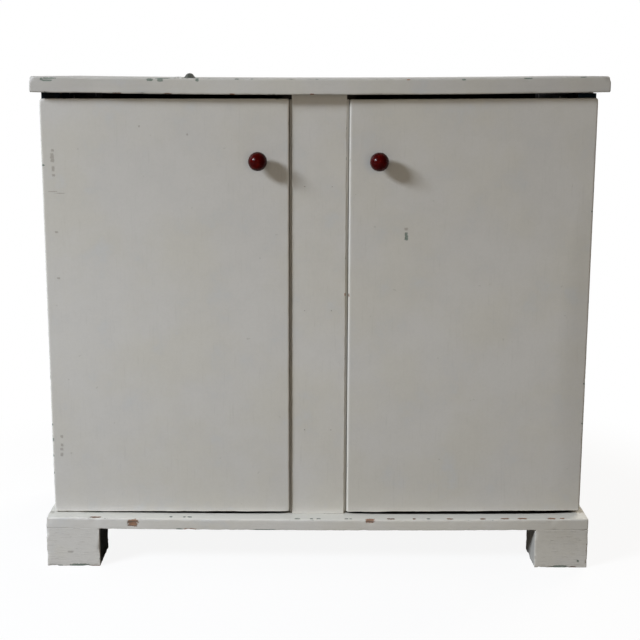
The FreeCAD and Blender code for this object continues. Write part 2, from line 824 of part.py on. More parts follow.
def hinge_mortise(side, hinge, moving):
    """The shallow seat for a leaf, and the hollow for the barrel beside it."""
    name = f"{SIDES[side]}_{hinge}_{'door' if moving else 'stile'}_mortise"
    seat = block(name + "_seat", across(side, "hinge_x - leaf_width - leaf_fit", "half_width + overrun"),
                 leaf_depth(moving),
                 (f"{hinge} - hinge_height / 2 - leaf_fit", f"{hinge} + hinge_height / 2 + leaf_fit"))
    hollow = rod(name + "_hollow", "notch_radius", signed(side, "hinge_x"), "hinge_y",
                 (f"{hinge} - half_notch", f"{hinge} + half_notch"))
    return joined(name, [seat, hollow])


# Magnetic catches
def catch_magnet(side):
    return block(f"{SIDES[side]}_catch_magnet",
                 across(side, "catch_x - magnet_width / 2", "catch_x + magnet_width / 2"),
                 ("frame_front + magnet_setback", "frame_front + magnet_depth"),
                 ("catch_z - magnet_height / 2", "catch_z + magnet_height / 2"))


def catch_poles(side):
    """The two steel plates beside the magnet, whose front edges meet the strike plate."""
    name = SIDES[side] + "_catch_poles"
    plates = []
    for number, face in enumerate(("catch_x - magnet_width / 2 - pole_thickness",
                                   "catch_x + magnet_width / 2")):
        plates.append(block(f"{name}_{number}", across(side, face, f"{face} + pole_thickness"),
                            ("frame_front", "frame_front + magnet_depth"),
                            ("catch_z - magnet_height / 2", "catch_z + magnet_height / 2")))
    return gathered(name, plates)


def catch_case(side, holes):
    name = SIDES[side] + "_catch_case"
    shell = block(name + "_shell", across(side, "half_post", "half_post + catch_width"),
                  ("frame_front", "frame_front + catch_depth"),
                  ("catch_z - catch_height / 2", "catch_z + catch_height / 2"))
    half_pocket = "(magnet_width / 2 + pole_thickness)"
    pocket = block(name + "_pocket", across(side, f"catch_x - {half_pocket}", f"catch_x + {half_pocket}"),
                   ("frame_front - overrun", "frame_front + magnet_depth"),
                   ("catch_z - magnet_height / 2", "catch_z + magnet_height / 2"))
    return cut(name, shell, [pocket, holes])


def strike_plate(side, holes):
    name = SIDES[side] + "_strike_plate"
    plate = block(name + "_sheet",
                  across(side, "catch_x - strike_width / 2", "catch_x + strike_width / 2"),
                  ("door_back", "door_back + strike_thickness"),
                  ("catch_z - strike_height / 2", "catch_z + strike_height / 2"))
    return cut(name, plate, [holes])


# Putting the carcass together
def build_carcass():
    carcass_screws, carcass_holes = screws("carcass_screws", "carcass_screw", carcass_screw_places())
    batten_screws, batten_holes = screws("batten_screws", "batten_screw", batten_screw_places())
    foot_screws, foot_holes = screws("foot_screws", "foot_screw", foot_screw_places())
    catch_screws, catch_holes = screws("catch_screws", "catch_screw", catch_screw_places())
    hinge_places = []
    for side in SIDES:
        hinge_places += hinge_screw_places(side, "hinge_y + leaf_gap / 2", BACKWARD)
    hinge_screws, hinge_holes = screws("fixed_hinge_screws", "hinge_screw", hinge_places)

    dowels, dowel_holes = pins("frame_dowels", "dowel", plain_pin, dowel_places())
    stile_pins, stile_pin_holes = pins("stile_pins", "stile_pin", plain_pin, stile_pin_places())
    back_pins, back_pin_holes = pins("back_panel_pins", "back_pin", headed_pin, back_pin_places())
    keep(carcass_screws, batten_screws, foot_screws, catch_screws, hinge_screws)
    keep(dowels, stile_pins, back_pins)

    keep(cut("top_board", top_board(), [batten_holes]))
    keep(cut("base_board", base_board(), [carcass_holes, foot_holes]))
    bores = foot_bores()
    for side in SIDES:
        for end in ("front", "back"):
            block_foot = foot(side, end)
            keep(cut(block_foot.Label, block_foot, [foot_holes, bores]))

    keep(cut("centre_post", centre_post(), [carcass_holes, stile_pin_holes, catch_holes]))
    keep(cut("centre_stile", centre_stile(), [stile_pin_holes]))
    keep(cut("centre_partition", centre_partition(), [carcass_holes, batten_holes, back_pin_holes]))
    keep(cut("back_panel", back_panel(), [back_pin_holes]))

    hinge_pins = []
    for side in SIDES:
        wall = side_board(side)
        keep(cut(wall.Label, wall, [carcass_holes, batten_holes, dowel_holes, back_pin_holes]))
        mortises = [hinge_mortise(side, hinge, False) for hinge in HINGES]
        hanging = hanging_stile(side)
        keep(cut(hanging.Label, hanging, [dowel_holes, hinge_holes] + mortises))
        keep(shelf(side))
        for where in ("outer", "inner"):
            cleat = shelf_cleat(side, where)
            keep(cut(cleat.Label, cleat, [batten_holes]))
            batten = top_batten(side, where)
            keep(cut(batten.Label, batten, [batten_holes]))
        for hinge in HINGES:
            keep(hinge_leaf(side, hinge, False, hinge_holes))
            hinge_pins.append(hinge_pin(side, hinge))
        keep(catch_case(side, catch_holes), catch_magnet(side), catch_poles(side))
    keep(gathered("hinge_pins", hinge_pins))


# Hanging one door
def build_door(side):
    word = SIDES[side]
    places = hinge_screw_places(side, "hinge_y - leaf_gap / 2", FORWARD)
    hinge_screws, hinge_holes = screws(f"{word}_door_hinge_screws", "hinge_screw", places)
    strike_screws, strike_holes = screws(f"{word}_strike_screws", "strike_screw",
                                         strike_screw_places(side))
    mortises = [hinge_mortise(side, hinge, True) for hinge in HINGES]
    panel = door_panel(side)
    keep(cut(panel.Label, panel, [hinge_holes, strike_holes, knob_hole(side)] + mortises))
    for hinge in HINGES:
        keep(hinge_leaf(side, hinge, True, hinge_holes))
    keep(knob(side), knob_screw(side))
    keep(strike_plate(side, strike_holes), hinge_screws, strike_screws)


def check_document():
    for thing in doc.Objects:
        if "Invalid" in thing.State or "Error" in thing.State:
            raise RuntimeError(f"{thing.Label} failed: {thing.State}")
    for piece in nodes:
        if piece.Shape.isNull() or not piece.Shape.isValid():
            raise RuntimeError(f"{piece.Label} has no sound shape")


fill_sheet()
build_carcass()
for door_side in SIDES:
    build_door(door_side)
doc.recompute()
check_document()

os.makedirs("parts", exist_ok=True)
for piece in nodes:
    piece.Shape.exportStep(f"parts/{piece.Label}.step")
print(len(nodes), "sub-parts written")
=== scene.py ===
import json
import math
import bmesh
import bpy
import numpy as np
from mathutils import Euler, Matrix, Vector, noise


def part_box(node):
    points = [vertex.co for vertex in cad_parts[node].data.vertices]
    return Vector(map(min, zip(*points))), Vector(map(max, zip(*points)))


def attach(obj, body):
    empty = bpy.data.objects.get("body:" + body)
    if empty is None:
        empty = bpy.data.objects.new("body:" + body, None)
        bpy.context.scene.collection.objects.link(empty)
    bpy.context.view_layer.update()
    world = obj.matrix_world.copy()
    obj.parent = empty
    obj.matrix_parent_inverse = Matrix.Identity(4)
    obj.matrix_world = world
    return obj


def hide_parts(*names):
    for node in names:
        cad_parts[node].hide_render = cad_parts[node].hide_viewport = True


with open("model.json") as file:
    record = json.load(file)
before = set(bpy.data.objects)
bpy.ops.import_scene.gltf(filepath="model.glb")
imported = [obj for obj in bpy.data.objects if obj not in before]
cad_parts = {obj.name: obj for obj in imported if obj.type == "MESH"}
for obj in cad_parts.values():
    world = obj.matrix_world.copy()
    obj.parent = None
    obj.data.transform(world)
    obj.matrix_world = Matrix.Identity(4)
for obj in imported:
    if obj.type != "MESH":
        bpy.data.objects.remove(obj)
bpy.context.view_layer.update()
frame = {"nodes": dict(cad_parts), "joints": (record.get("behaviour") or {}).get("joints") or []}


# Feet: four blocks of softwood, sawn square, screwed up into the base board and
# painted with it. The saw's marks show through the paint, and the soles are ragged
# where the cupboard has been dragged.
MM = 0.001
OFF_WHITE = (0.450, 0.442, 0.418)
YELLOWED = (0.446, 0.434, 0.394)
BLUISH = (0.440, 0.444, 0.434)
# The grime colour below is also laid on as painted shade.
GRIME_AND_SHADE = (0.105, 0.085, 0.062)
# Black laid on as painted shade where gaps and recesses lie in shade.
SHADE_BLACK = (0.010, 0.008, 0.006)
OLD_GREEN = (0.115, 0.150, 0.122)
# A white laid on as painted highlight, on edges and on faces turned up.
HIGHLIGHT_WHITE = (0.650, 0.637, 0.580)
RAW_WOOD = (0.320, 0.165, 0.092)
BURNT_WOOD = (0.125, 0.095, 0.075)
FOOT_EDGE = 1.5 * MM
FOOT_NET = 3.5 * MM
FOOT_BORE = 5.5 * MM
FOOT_RAGGED = 2.0 * MM
FOOT_RAISED = 2.6 * MM
FOOT_JOINED = 20 * MM
BORE_PAST_SCREW = 2 * MM
WELD = 0.001 * MM
WHITER_EDGE = (0.4 * MM, 3.2 * MM)
RUB_REACH = 12 * MM
RUBBED_GREEN = (-0.1 * MM, 0.15 * MM)
RUBBED_RAW = (0.9 * MM, 1.3 * MM)
BRISTLE_DEPTH = 0.12 * MM
WAVE_DEPTH = 1.6 * MM
COAT_DEPTH = 0.25 * MM
SAW_DEPTH = 0.5 * MM
NET_BY_EDGE = np.array([0.8, 2.2]) * MM
NARROW = 40 * MM
WEAR_REACH = 3.0 * MM
PLANED_UNEVEN = 0.22 * MM
HEART = 8 * MM
RUN_HEIGHT = 3.5 * MM
RUN_DEPTH = 9 * MM
STRETCH = {"x": (0.045, 1.0, 1.0), "y": (1.0, 0.045, 1.0), "z": (1.0, 1.0, 0.045)}


def add(kind, inputs, material=None, **settings):
    """Adds a shader node, whose inputs go by name or number.

    An input given as another node's socket is linked with it, and the new node goes to the
    same material, so only a node without any such input has to be told its material.
    """
    sockets = {name: given for name, given in inputs.items() if isinstance(given, bpy.types.NodeSocket)}
    tree = material.node_tree if material else next(iter(sockets.values())).id_data
    node = tree.nodes.new("ShaderNode" + kind)
    for field, setting in settings.items():
        setattr(node, field, setting)
    for name, given in inputs.items():
        if name in sockets:
            tree.links.new(given, node.inputs[name])
        else:
            node.inputs[name].default_value = given
    return node


def new_material(name):
    material = bpy.data.materials.new(name)
    material.use_nodes = True
    material.node_tree.nodes.clear()
    return material


def surface(colour, roughness, normal, metal=0.0, specular=0.5):
    """Joins a colour, a roughness and a normal in the surface of their material."""
    inputs = {"Base Color": colour, "Roughness": roughness, "Normal": normal, "Metallic": metal,
              "Specular IOR Level": specular}
    add("OutputMaterial", {"Surface": add("BsdfPrincipled", inputs).outputs["BSDF"]})


def raised(height, strength, distance, under=None, invert=False):
    """The normal of a surface that stands up with a value, on top of another normal if it is given one."""
    inputs = {"Height": height, "Strength": strength, "Distance": distance}
    if under:
        inputs["Normal"] = under
    return add("Bump", inputs, invert=invert).outputs["Normal"]


def place(material, stretch=(1.0, 1.0, 1.0)):
    """The point on the piece, in metres, drawn out along the grain."""
    spot = add("TexCoord", {}, material).outputs["Object"]
    return add("Mapping", {"Vector": spot, "Scale": stretch}).outputs["Vector"]


def speckle(spot, scale, detail=4.0, roughness=0.55):
    settings = {"Vector": spot, "Scale": scale, "Detail": detail, "Roughness": roughness}
    return add("TexNoise", settings).outputs["Fac"]


def band(value, low, high, start=0.0, end=1.0):
    """Turns a value between low and high into one between start and end."""
    settings = {"Value": value, "From Min": low, "From Max": high, "To Min": start, "To Max": end}
    return add("MapRange", settings, interpolation_type="SMOOTHSTEP").outputs["Result"]


def sum_up(operation, first, second):
    return add("Math", {0: first, 1: second}, operation=operation).outputs[0]


def coloured(colour):
    return (*colour, 1.0)


def mix(share, first, second):
    """One colour over another; each is a colour or a node's socket."""
    inputs = {0: share}
    for number, given in ((6, first), (7, second)):
        inputs[number] = given if isinstance(given, bpy.types.NodeSocket) else coloured(given)
    return add("Mix", inputs, data_type="RGBA").outputs[2]


def nearest_mark(spot, marks, squarish=True):
    """How far the surface is from the nearest mark's middle, where 1 is that mark's edge."""
    nearest = None
    for middle, size in marks:
        reach = spot
        for operation, numbers in (("SUBTRACT", middle), ("DIVIDE", [number / 2 for number in size])):
            inputs = {0: reach, 1: [number * MM for number in numbers]}
            reach = add("VectorMath", inputs, operation=operation).outputs[0]
        if squarish:
            reach = add("VectorMath", {0: reach, 1: reach}, operation="MULTIPLY").outputs[0]
        distance = add("VectorMath", {0: reach}, operation="LENGTH").outputs["Value"]
        nearest = distance if nearest is None else sum_up("MINIMUM", nearest, distance)
    return nearest


def marked(spot, marks, ragged, softness=0.15, raggedness=4.5):
    """1 within the marks and 0 outside them, with a ragged outline."""
    if not marks:
        return 0.0
    reach = sum_up("ADD", nearest_mark(spot, marks),
                   sum_up("MULTIPLY", sum_up("SUBTRACT", ragged, 0.5), raggedness))
    return band(reach, 1.0 - softness, 1.0 + softness, 1.0, 0.0)


def painted(name, grain, rub=2.0, brush=0.5, sawn=0.0, tone=1.0, edge_highlight=0.3, light_from_above=0.0, green=(), raw=(),
            stains=(), dirt_and_shade=(), shade_marks=()):
    """Satin off-white brushed over an old green coat, rubbed through along the edges.

    rub is how far the rubbing goes, brush and sawn how much bristles and saw have marked the
    paint, and tone how light it is. Two numbers set how far it is whiter along the edges, a
    painted highlight, and where it faces up, painted light from above. Marks are a middle and
    a size in millimetres: green ones show the old coat, raw ones the wood, stains are brown and
    thin, the broad darkening marks are grime in some places and painted shade in others, and
    the black marks are painted shade where gaps and recesses lie in shade.
    """
    material = new_material(name)
    spot = place(material)
    along = place(material, STRETCH[grain])
    cloud = speckle(spot, 7.0, 5.0, 0.6)
    patch = speckle(spot, 16.0, 6.0, 0.65)
    fine = speckle(spot, 240.0, 3.0, 0.6)
    bristle = speckle(along, 420.0, 4.0, 0.65)
    ragged = speckle(spot, 260.0, 6.0, 0.8)

    white, yellow, blue = [[tone * part for part in colour] for colour in (OFF_WHITE, YELLOWED, BLUISH)]
    body = mix(band(cloud, 0.38, 0.64), white, yellow)
    body = mix(band(patch, 0.54, 0.72, 0.0, 0.8), body, blue)
    pits = speckle(spot, 95.0, 2.0, 0.5)
    tone_with_wear_and_light = body
    for value, low, high, most in ((fine, 0.30, 0.78, 0.035), (bristle, 0.56, 0.78, 0.17 * brush),
                                   (patch, 0.38, 0.66, 0.045), (pits, 0.765, 0.785, 0.2)):
        tone_with_wear_and_light = mix(band(value, low, high, 0.0, most), tone_with_wear_and_light, GRIME_AND_SHADE)
    # A broad darkening: grime in some places, painted shade in others.
    if dirt_and_shade:
        smear_and_shade = band(nearest_mark(spot, dirt_and_shade, squarish=False), 0.1, 1.5, 0.16, 0.0)
        tone_with_wear_and_light = mix(smear_and_shade, tone_with_wear_and_light, GRIME_AND_SHADE)
    # Painted light from above: whiter where the surface faces up.
    if light_from_above:
        normal = add("NewGeometry", {}, material).outputs["Normal"]
        up = add("SeparateXYZ", {"Vector": normal}).outputs["Z"]
        tone_with_wear_and_light = mix(band(up, 0.65, 0.98, 0.0, light_from_above), tone_with_wear_and_light, HIGHLIGHT_WHITE)
    if stains:
        smear_and_shade = sum_up("MULTIPLY", marked(spot, stains, ragged, 0.6), 0.40)
        tone_with_wear_and_light = mix(smear_and_shade, tone_with_wear_and_light, GRIME_AND_SHADE)
    # Painted shade: black where gaps and recesses lie in shade.
    if shade_marks:
        tone_with_wear_and_light = mix(marked(spot, shade_marks, ragged, 0.1, 0.0), tone_with_wear_and_light, SHADE_BLACK)

    worn_through = band(ragged, 0.30, 0.62, 0.6, 1.0)
    green_share = sum_up("MULTIPLY", marked(spot, green, ragged), worn_through)
    raw_share = marked(spot, raw, ragged)
    if rub:
        rim = add("Attribute", {}, material, attribute_name="rim").outputs["Fac"]
        # Painted highlight: whiter along the edges.
        whitened = band(rim, *WHITER_EDGE, edge_highlight, 0.0)
        tone_with_wear_and_light = mix(whitened, tone_with_wear_and_light, HIGHLIGHT_WHITE)
        rubbed = sum_up("SUBTRACT", speckle(spot, 38.0, 7.0, 0.75), 0.585)
        reach = sum_up("SUBTRACT", sum_up("MULTIPLY", rubbed, rub * RUB_REACH), rim)
        green_share = sum_up("MAXIMUM", green_share, band(reach, *RUBBED_GREEN))
        raw_share = sum_up("MAXIMUM", raw_share, band(reach, *RUBBED_RAW))
    wood = mix(band(speckle(along, 300.0), 0.35, 0.65), BURNT_WOOD, RAW_WOOD)
    colour = mix(green_share, tone_with_wear_and_light, OLD_GREEN)
    colour = mix(raw_share, colour, wood)

    flaked = sum_up("MAXIMUM", green_share, raw_share)
    gloss = sum_up("ADD", band(patch, 0.3, 0.7, 0.40, 0.52), sum_up("MULTIPLY", flaked, 0.25))
    normal = raised(bristle, brush, BRISTLE_DEPTH)
    normal = raised(cloud, 0.6, WAVE_DEPTH, normal)
    normal = raised(flaked, 0.8, COAT_DEPTH, normal, invert=True)
    if sawn:
        saw = speckle(place(material, (0.16, 0.16, 1.0)), 330.0, 5.0, 0.7)
        colour = mix(band(saw, 0.54, 0.72, 0.0, 0.34 * sawn), colour, GRIME_AND_SHADE)
        normal = raised(saw, sawn, SAW_DEPTH, normal)
    surface(colour, gloss, normal)
    return material


def net_lines(low, high, soft_low, soft_high, spacing):
    """Where a board's net is cut along one axis: closely in and by its two rounded edges."""
    turns = np.radians([45.0, 30.0, 15.0, 0.0])
    close = NET_BY_EDGE if high - low > NARROW else NET_BY_EDGE[:1]
    first = low + soft_low * (1 - np.tan(turns))
    last = high - soft_high * (1 - np.tan(turns))[::-1]
    first = np.append(first, first[-1] + close)
    last = np.append(last[0] - close[::-1], last)
    start, end = first[-1] + spacing / 2, last[0] - spacing / 2
    count = max(2, int(round((end - start) / spacing)) + 1)
    return np.concatenate([first, np.linspace(start, end, count), last])


def face_net(lines, axis, level):
    """The corner points and the squares of one side of the box of lines."""
    first, second = [lines[other] for other in range(3) if other != axis]
    grid = np.array([[u, v] for u in first for v in second])
    points = np.insert(grid, axis, level, axis=1)
    rows, columns = len(first), len(second)
    corner = np.arange(rows * columns).reshape(rows, columns)
    around = [corner[:-1, :-1], corner[1:, :-1], corner[1:, 1:], corner[:-1, 1:]]
    squares = np.stack([part.ravel() for part in around], axis=1)
    outward = (level == lines[axis][-1]) != (axis == 1)
    return points, squares if outward else squares[:, ::-1]


def wobble(points, scale, seed):
    shift = Vector((seed * 3.1, seed * 1.7, seed * 2.3))
    return np.array([noise.noise(Vector(point) * scale + shift) for point in points])


def shift_of(x, y, low, high, sag, lean):
    """How far sag and lean move a board up at one place."""
    across = (2 * x - low[0] - high[0]) / (high[0] - low[0])
    deep = (y - low[1]) / (high[1] - low[1])
    hang = (sag[0] + (sag[1] - sag[0]) * deep) * (1 - across ** 2)
    return (lean[0] + (lean[1] - lean[0]) * (across + 1) / 2) - hang


def worn_board(name, corners, soft, spacing, ragged, dents=(), sag=(0.0, 0.0), lean=(0.0, 0.0), run=0.0,
               joined=0.0, seed=1):
    """A board between two corners, with eased edges that use has made uneven.

    soft holds the eased edge's size at the low and high end of each axis, and dents are a
    middle, a reach and a depth in millimetres. sag is how far its middle hangs below its ends,
    in front and at the back, and lean is how far its left and right ends stand too high. run
    is how thick the paint has gathered along the foot of its front. joined is how far the
    wood goes on above it, where its top isn't an edge of its own.
    """
    low, high = [np.array(corner) for corner in corners]
    soft = np.array(soft)
    lines = [net_lines(low[a], high[a], *soft[a], spacing[a]) for a in range(3)]
    points, faces, count = [], [], 0
    for axis in range(3):
        for level in (lines[axis][0], lines[axis][-1]):
            side_points, squares = face_net(lines, axis, level)
            points.append(side_points)
            faces.append(squares + count)
            count += len(side_points)
    points, faces = np.concatenate(points), np.concatenate(faces)

    gaps = np.sort(np.minimum(points - low, high + [0, 0, joined] - points), axis=1)
    rim = gaps[:, 1]
    inner = np.clip(points, low + soft[:, 0], high - soft[:, 1])
    reach = np.where(points < inner, soft[:, 0], soft[:, 1])
    outward = (points - inner) / reach
    outward /= np.linalg.norm(outward, axis=1)[:, None]
    places = inner + outward * reach
    heart = np.minimum(HEART, 0.45 * (high - low))
    normals = (points - np.clip(points, low + heart, high - heart)) / heart
    normals /= np.linalg.norm(normals, axis=1)[:, None]

    near_edge = np.exp(-(rim / WEAR_REACH) ** 2)
    chewed = np.clip(wobble(places, 55.0, seed) - 0.05, 0, 1)
    chewed += np.clip(wobble(places, 210.0, seed) - 0.15, 0, 1)
    depth = near_edge * chewed * ragged * 1.6
    depth += (wobble(places, 6.0, seed + 1) * 0.5 + 0.5) * PLANED_UNEVEN
    for middle, dent_reach, dent_depth in dents:
        distance = np.linalg.norm(places - np.array(middle) * MM, axis=1) / (dent_reach * MM)
        depth += np.clip(1 - distance ** 2, 0, 1) ** 2 * dent_depth * MM
    places = places - normals * depth[:, None]
    places[:, 2] += shift_of(places[:, 0], places[:, 1], low, high, sag, lean)
    if run:
        gathered = np.exp(-((places[:, 2] - low[2]) / RUN_HEIGHT) ** 2)
        gathered *= 1 + wobble(places, 30.0, seed + 2)
        places[:, 1] -= run * gathered * np.clip((low[1] + RUN_DEPTH - places[:, 1]) / RUN_DEPTH, 0, 1)

    mesh = bpy.data.meshes.new(name)
    mesh.from_pydata(places.tolist(), [], faces.tolist())
    attribute = mesh.attributes.new("rim", "FLOAT", "POINT")
    attribute.data.foreach_set("value", rim.astype(np.float32))
    welded = bmesh.new()
    welded.from_mesh(mesh)
    bmesh.ops.remove_doubles(welded, verts=welded.verts, dist=WELD)
    bmesh.ops.recalc_face_normals(welded, faces=welded.faces)
    welded.to_mesh(mesh)
    welded.free()
    return show(mesh, name)


def show(mesh, name):
    piece = bpy.data.objects.new(name, mesh)
    bpy.context.scene.collection.objects.link(piece)
    mesh.shade_smooth()
    return piece


def cutter(width, depth, height, middle):
    """A box to cut a seat with, or a round bit where it has no depth."""
    solid = bmesh.new()
    if depth:
        bmesh.ops.create_cube(solid, size=1.0, matrix=Matrix.Diagonal((width, depth, height, 1.0)))
    else:
        bmesh.ops.create_cone(solid, cap_ends=True, segments=24, radius1=width / 2, radius2=width / 2,
                              depth=height)
    mesh = bpy.data.meshes.new("bit")
    bmesh.ops.translate(solid, verts=solid.verts, vec=middle)
    solid.to_mesh(mesh)
    solid.free()
    return mesh


def cut_out(piece, cutters):
    """Takes the cutters' shapes out of a piece."""
    joined = bmesh.new()
    for mesh in cutters:
        joined.from_mesh(mesh)
    all_bits = bpy.data.meshes.new("bits")
    joined.to_mesh(all_bits)
    joined.free()
    bits = bpy.data.objects.new("bits", all_bits)
    bpy.context.scene.collection.objects.link(bits)
    carving = piece.modifiers.new("cut", "BOOLEAN")
    carving.operation = "DIFFERENCE"
    carving.solver = "EXACT"
    carving.object = bits
    bpy.context.view_layer.update()
    carved = bpy.data.meshes.new_from_object(piece.evaluated_get(bpy.context.evaluated_depsgraph_get()))
    piece.modifiers.clear()
    piece.data = carved
    carved.set_sharp_from_angle(angle=math.radians(50))
    bpy.data.objects.remove(bits)


def fit_piece(piece, material, body, slot, *nodes):
    """Gives a piece its finish and puts it in the place of its CAD nodes."""
    piece.data.materials.clear()
    piece.data.materials.append(material)
    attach(piece, body)
    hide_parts(*nodes)


def solids_of(node):
    """The boxes of the separate solids that share one CAD node."""
    mesh = bmesh.new()
    mesh.from_mesh(frame["nodes"][node].data)
    bmesh.ops.remove_doubles(mesh, verts=mesh.verts, dist=WELD)
    left, found = set(mesh.verts), []
    while left:
        group, front = set(), [left.pop()]
        while front:
            vertex = front.pop()
            group.add(vertex)
            others = left.intersection(edge.other_vert(vertex) for edge in vertex.link_edges)
            left -= others
            front += others
        places = np.array([vertex.co for vertex in group])
        found.append((Vector(places.min(0)), Vector(places.max(0))))
    mesh.free()
    return sorted(found, key=lambda box: tuple(box[0]))


# Painted shade: the right front foot and the base's right end are darker, away from the window.
RIGHT_END_SHADE = ((440, -211, 78), (240, 10, 90))
# The left front foot's inner face is painted black, as shade under the base.
foot_paint = painted("painted_foot", "x", rub=3.0, brush=0.9, sawn=1.0, tone=1.18,
                     green=[((417, -209, 1.5), (26, 12, 6)), ((448, -210.5, 12.3), (4, 3, 4)),
                            ((-408, -210, 1.5), (34, 8, 6)), ((-445, -210, 0.8), (16, 8, 3))],
                     raw=[((-379, -210, 0.6), (20, 8, 3)), ((440, -210, 0.5), (12, 10, 4))],
                     dirt_and_shade=[RIGHT_END_SHADE],
                     stains=[((-422.6, -210.5, 26), (9, 4, 4)), ((374, -210.5, 19), (3, 4, 5))],
                     shade_marks=[((-371.5, -165, 33), (4, 82, 80))])
FOOT_SOFT = [(FOOT_EDGE, FOOT_EDGE)] * 2 + [(FOOT_EDGE, 0.3 * MM)]
for number, foot in enumerate(("front_left_foot", "front_right_foot", "back_left_foot", "back_right_foot")):
    foot_low, foot_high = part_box(foot)
    foot_high.z += FOOT_RAISED
    block = worn_board(foot + "_block", (foot_low, foot_high), FOOT_SOFT, (FOOT_NET,) * 3, FOOT_RAGGED,
                       joined=FOOT_JOINED, seed=3 + number)
    bores = []
    for screw_low, screw_high in solids_of("foot_screws"):
        axis = (screw_low + screw_high) / 2
        if foot_low.x < axis.x < foot_high.x and foot_low.y < axis.y < foot_high.y:
            depth = screw_low.z + BORE_PAST_SCREW
            bores.append(cutter(2 * FOOT_BORE, 0, depth, Vector((axis.x, axis.y, screw_low.z - depth / 2))))
    cut_out(block, bores)
    fit_piece(block, foot_paint, "carcass", "painted_wood", foot)


# Base board: a planed board that is also the cupboard's floor. Its front edge is
# rounded and stands ahead of the doors, so toes and brooms have chipped it most.
BASE_NET = (3.0 * MM, 9.0 * MM, 3.0 * MM)
BASE_SOFT = [(2.0 * MM, 2.0 * MM), (3.4 * MM, 0.8 * MM), (0.8 * MM, 3.0 * MM)]
BASE_RAISED = (2.5 * MM, 3.4 * MM)
BASE_SAG = (2.8 * MM, 0.0)
SCREW_HEAD = 4.4 * MM
SCREW_SEAT = 4 * MM
BROWN_CHIPS = [(-380, 20, 2.6), (126, 13, 2.2), (166, 5, 2.4), (227, 11, 3.6), (283, 9, 3), (321, 14, 2.4),
               (351, 15, 2), (401, 14, 5), (419, 7, 2.6)]
GREY_CHIPS = [(-34, 9, 1.3), (-10, 5, 1.4), (2, 7, 1.2), (50, 6, 1.8), (57, 4, 1.8), (190, 6, 1.4)]
FAR_CHIPS = [(-251, 5, 2), (-228, 4, 1.6), (-219, 7, 2)]
BASE_RAGGED = 0.7 * MM
LEVEL_WITHIN = 1 * MM
CHIPS_BACK = 5.8
FAR_CHIPS_BACK = 11.0
base_low, base_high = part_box("base_board")
base_low.z += BASE_RAISED[0]
base_high.z += BASE_RAISED[1]


def on_edge(x, below, low, high, sag, lean=(0.0, 0.0), back=0.6):
    """A place by a board's upper front edge, in millimetres, so far below and behind it."""
    height = high.z + shift_of(x * MM, low.y, low, high, sag, lean)
    return (x, low.y / MM + back, height / MM - below)


def on_base(x, below=0.8, back=0.6):
    return on_edge(x, below, base_low, base_high, BASE_SAG, back=back)


# Painted light and shade: whiter where it faces up, black under the doors, darker at the right end.
base_paint = painted(
    "painted_base", "x", rub=1.4, brush=1.0, tone=1.19, edge_highlight=0.0, light_from_above=1.0,
    raw=[(on_base(-315, 7.6), (17, 5, 12.4)), (on_base(-218, 18.4), (20, 6, 3)),
         (on_base(90, 1.6, back=2.4), (15, 8, 8))]
        + [(on_base(x, back=CHIPS_BACK), (width, 5.5, tall + 3)) for x, width, tall in BROWN_CHIPS],
    green=[(on_base(x, back=CHIPS_BACK), (width, 5, tall + 3)) for x, width, tall in GREY_CHIPS]
          + [(on_base(x, back=FAR_CHIPS_BACK), (width, 6, tall + 3)) for x, width, tall in FAR_CHIPS]
          + [((-384, -181, 88), (38, 4, 3)), (on_base(-236, 18), (10, 6, 2.5)),
             (on_base(-90, 18), (34, 5, 1.6))],
    stains=[((-457, -184, 87), (7, 12, 8)), ((-463, -200, 80), (4, 10, 12))],
    dirt_and_shade=[((-440, -190, 88), (46, 40, 5)), ((420, -196, 88), (120, 30, 5)), RIGHT_END_SHADE],
    shade_marks=[((-226, -170, 86), (356, 22, 30)), ((246, -170.2, 86), (396, 22.4, 30))])
BASE_DENTS = [((-315, -211, 79), 7, 0.9), ((90, -210, 84), 8, 0.9), ((401, -209, 85), 9, 0.8),
              ((-379, -210, 85), 13, 0.7), ((227, -209, 84.5), 8, 0.7), ((-462, -205, 85), 14, 1.6),
              ((283, -209, 84.5), 7, 0.6), ((-218, -210, 66), 11, 1.0), ((463, -210, 66), 8, 0.8)]
base = worn_board("base_board_planed", (base_low, base_high), BASE_SOFT, BASE_NET, BASE_RAGGED, BASE_DENTS,
                  BASE_SAG, seed=11)
base_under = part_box("base_board")[0].z
seats = []
for screw_low, screw_high in solids_of("carcass_screws"):
    if screw_low.z < base_under + LEVEL_WITHIN:
        axis = (screw_low + screw_high) / 2
        seats.append(cutter(2 * SCREW_HEAD, 0, 2 * SCREW_SEAT, Vector((axis.x, axis.y, base_under))))
cut_out(base, seats)
base_hangs = BASE_SAG[0] - BASE_RAISED[1]
fit_piece(base, base_paint, "carcass", "painted_wood", "base_board")


# Sides: pine boards, painted outside like the front and left bare inside, where
# shelf cleats and battens are screwed to them.
SIDE_NET = (6.0 * MM, 7.0 * MM, 7.0 * MM)
SIDE_SOFT = [(0.7 * MM, 0.7 * MM)] * 3
SIDE_SPARE = 2.2 * MM
PINE_LIGHT = (0.420, 0.270, 0.140)
PINE_DARK = (0.255, 0.140, 0.066)
PINE_KNOT = (0.070, 0.032, 0.016)
SIDE_RAGGED = 0.4 * MM
PORE_DEPTH = 0.15 * MM
SHADED_STRIP = (765 * MM, 782 * MM)


def shade_under_top(material, colour):
    """Darkens the strip inside, just under the top: painted shade, so that the gap above the doors looks
    dark.
    """
    height = add("SeparateXYZ", {"Vector": place(material)}).outputs["Z"]
    facing = add("NewGeometry", {}, material).outputs["Normal"]
    backward = add("SeparateXYZ", {"Vector": facing}).outputs["Y"]
    share = sum_up("MULTIPLY", band(height, *SHADED_STRIP), band(backward, 0.3, 0.7, 1.0, 0.0))
    return mix(share, colour, SHADE_BLACK)


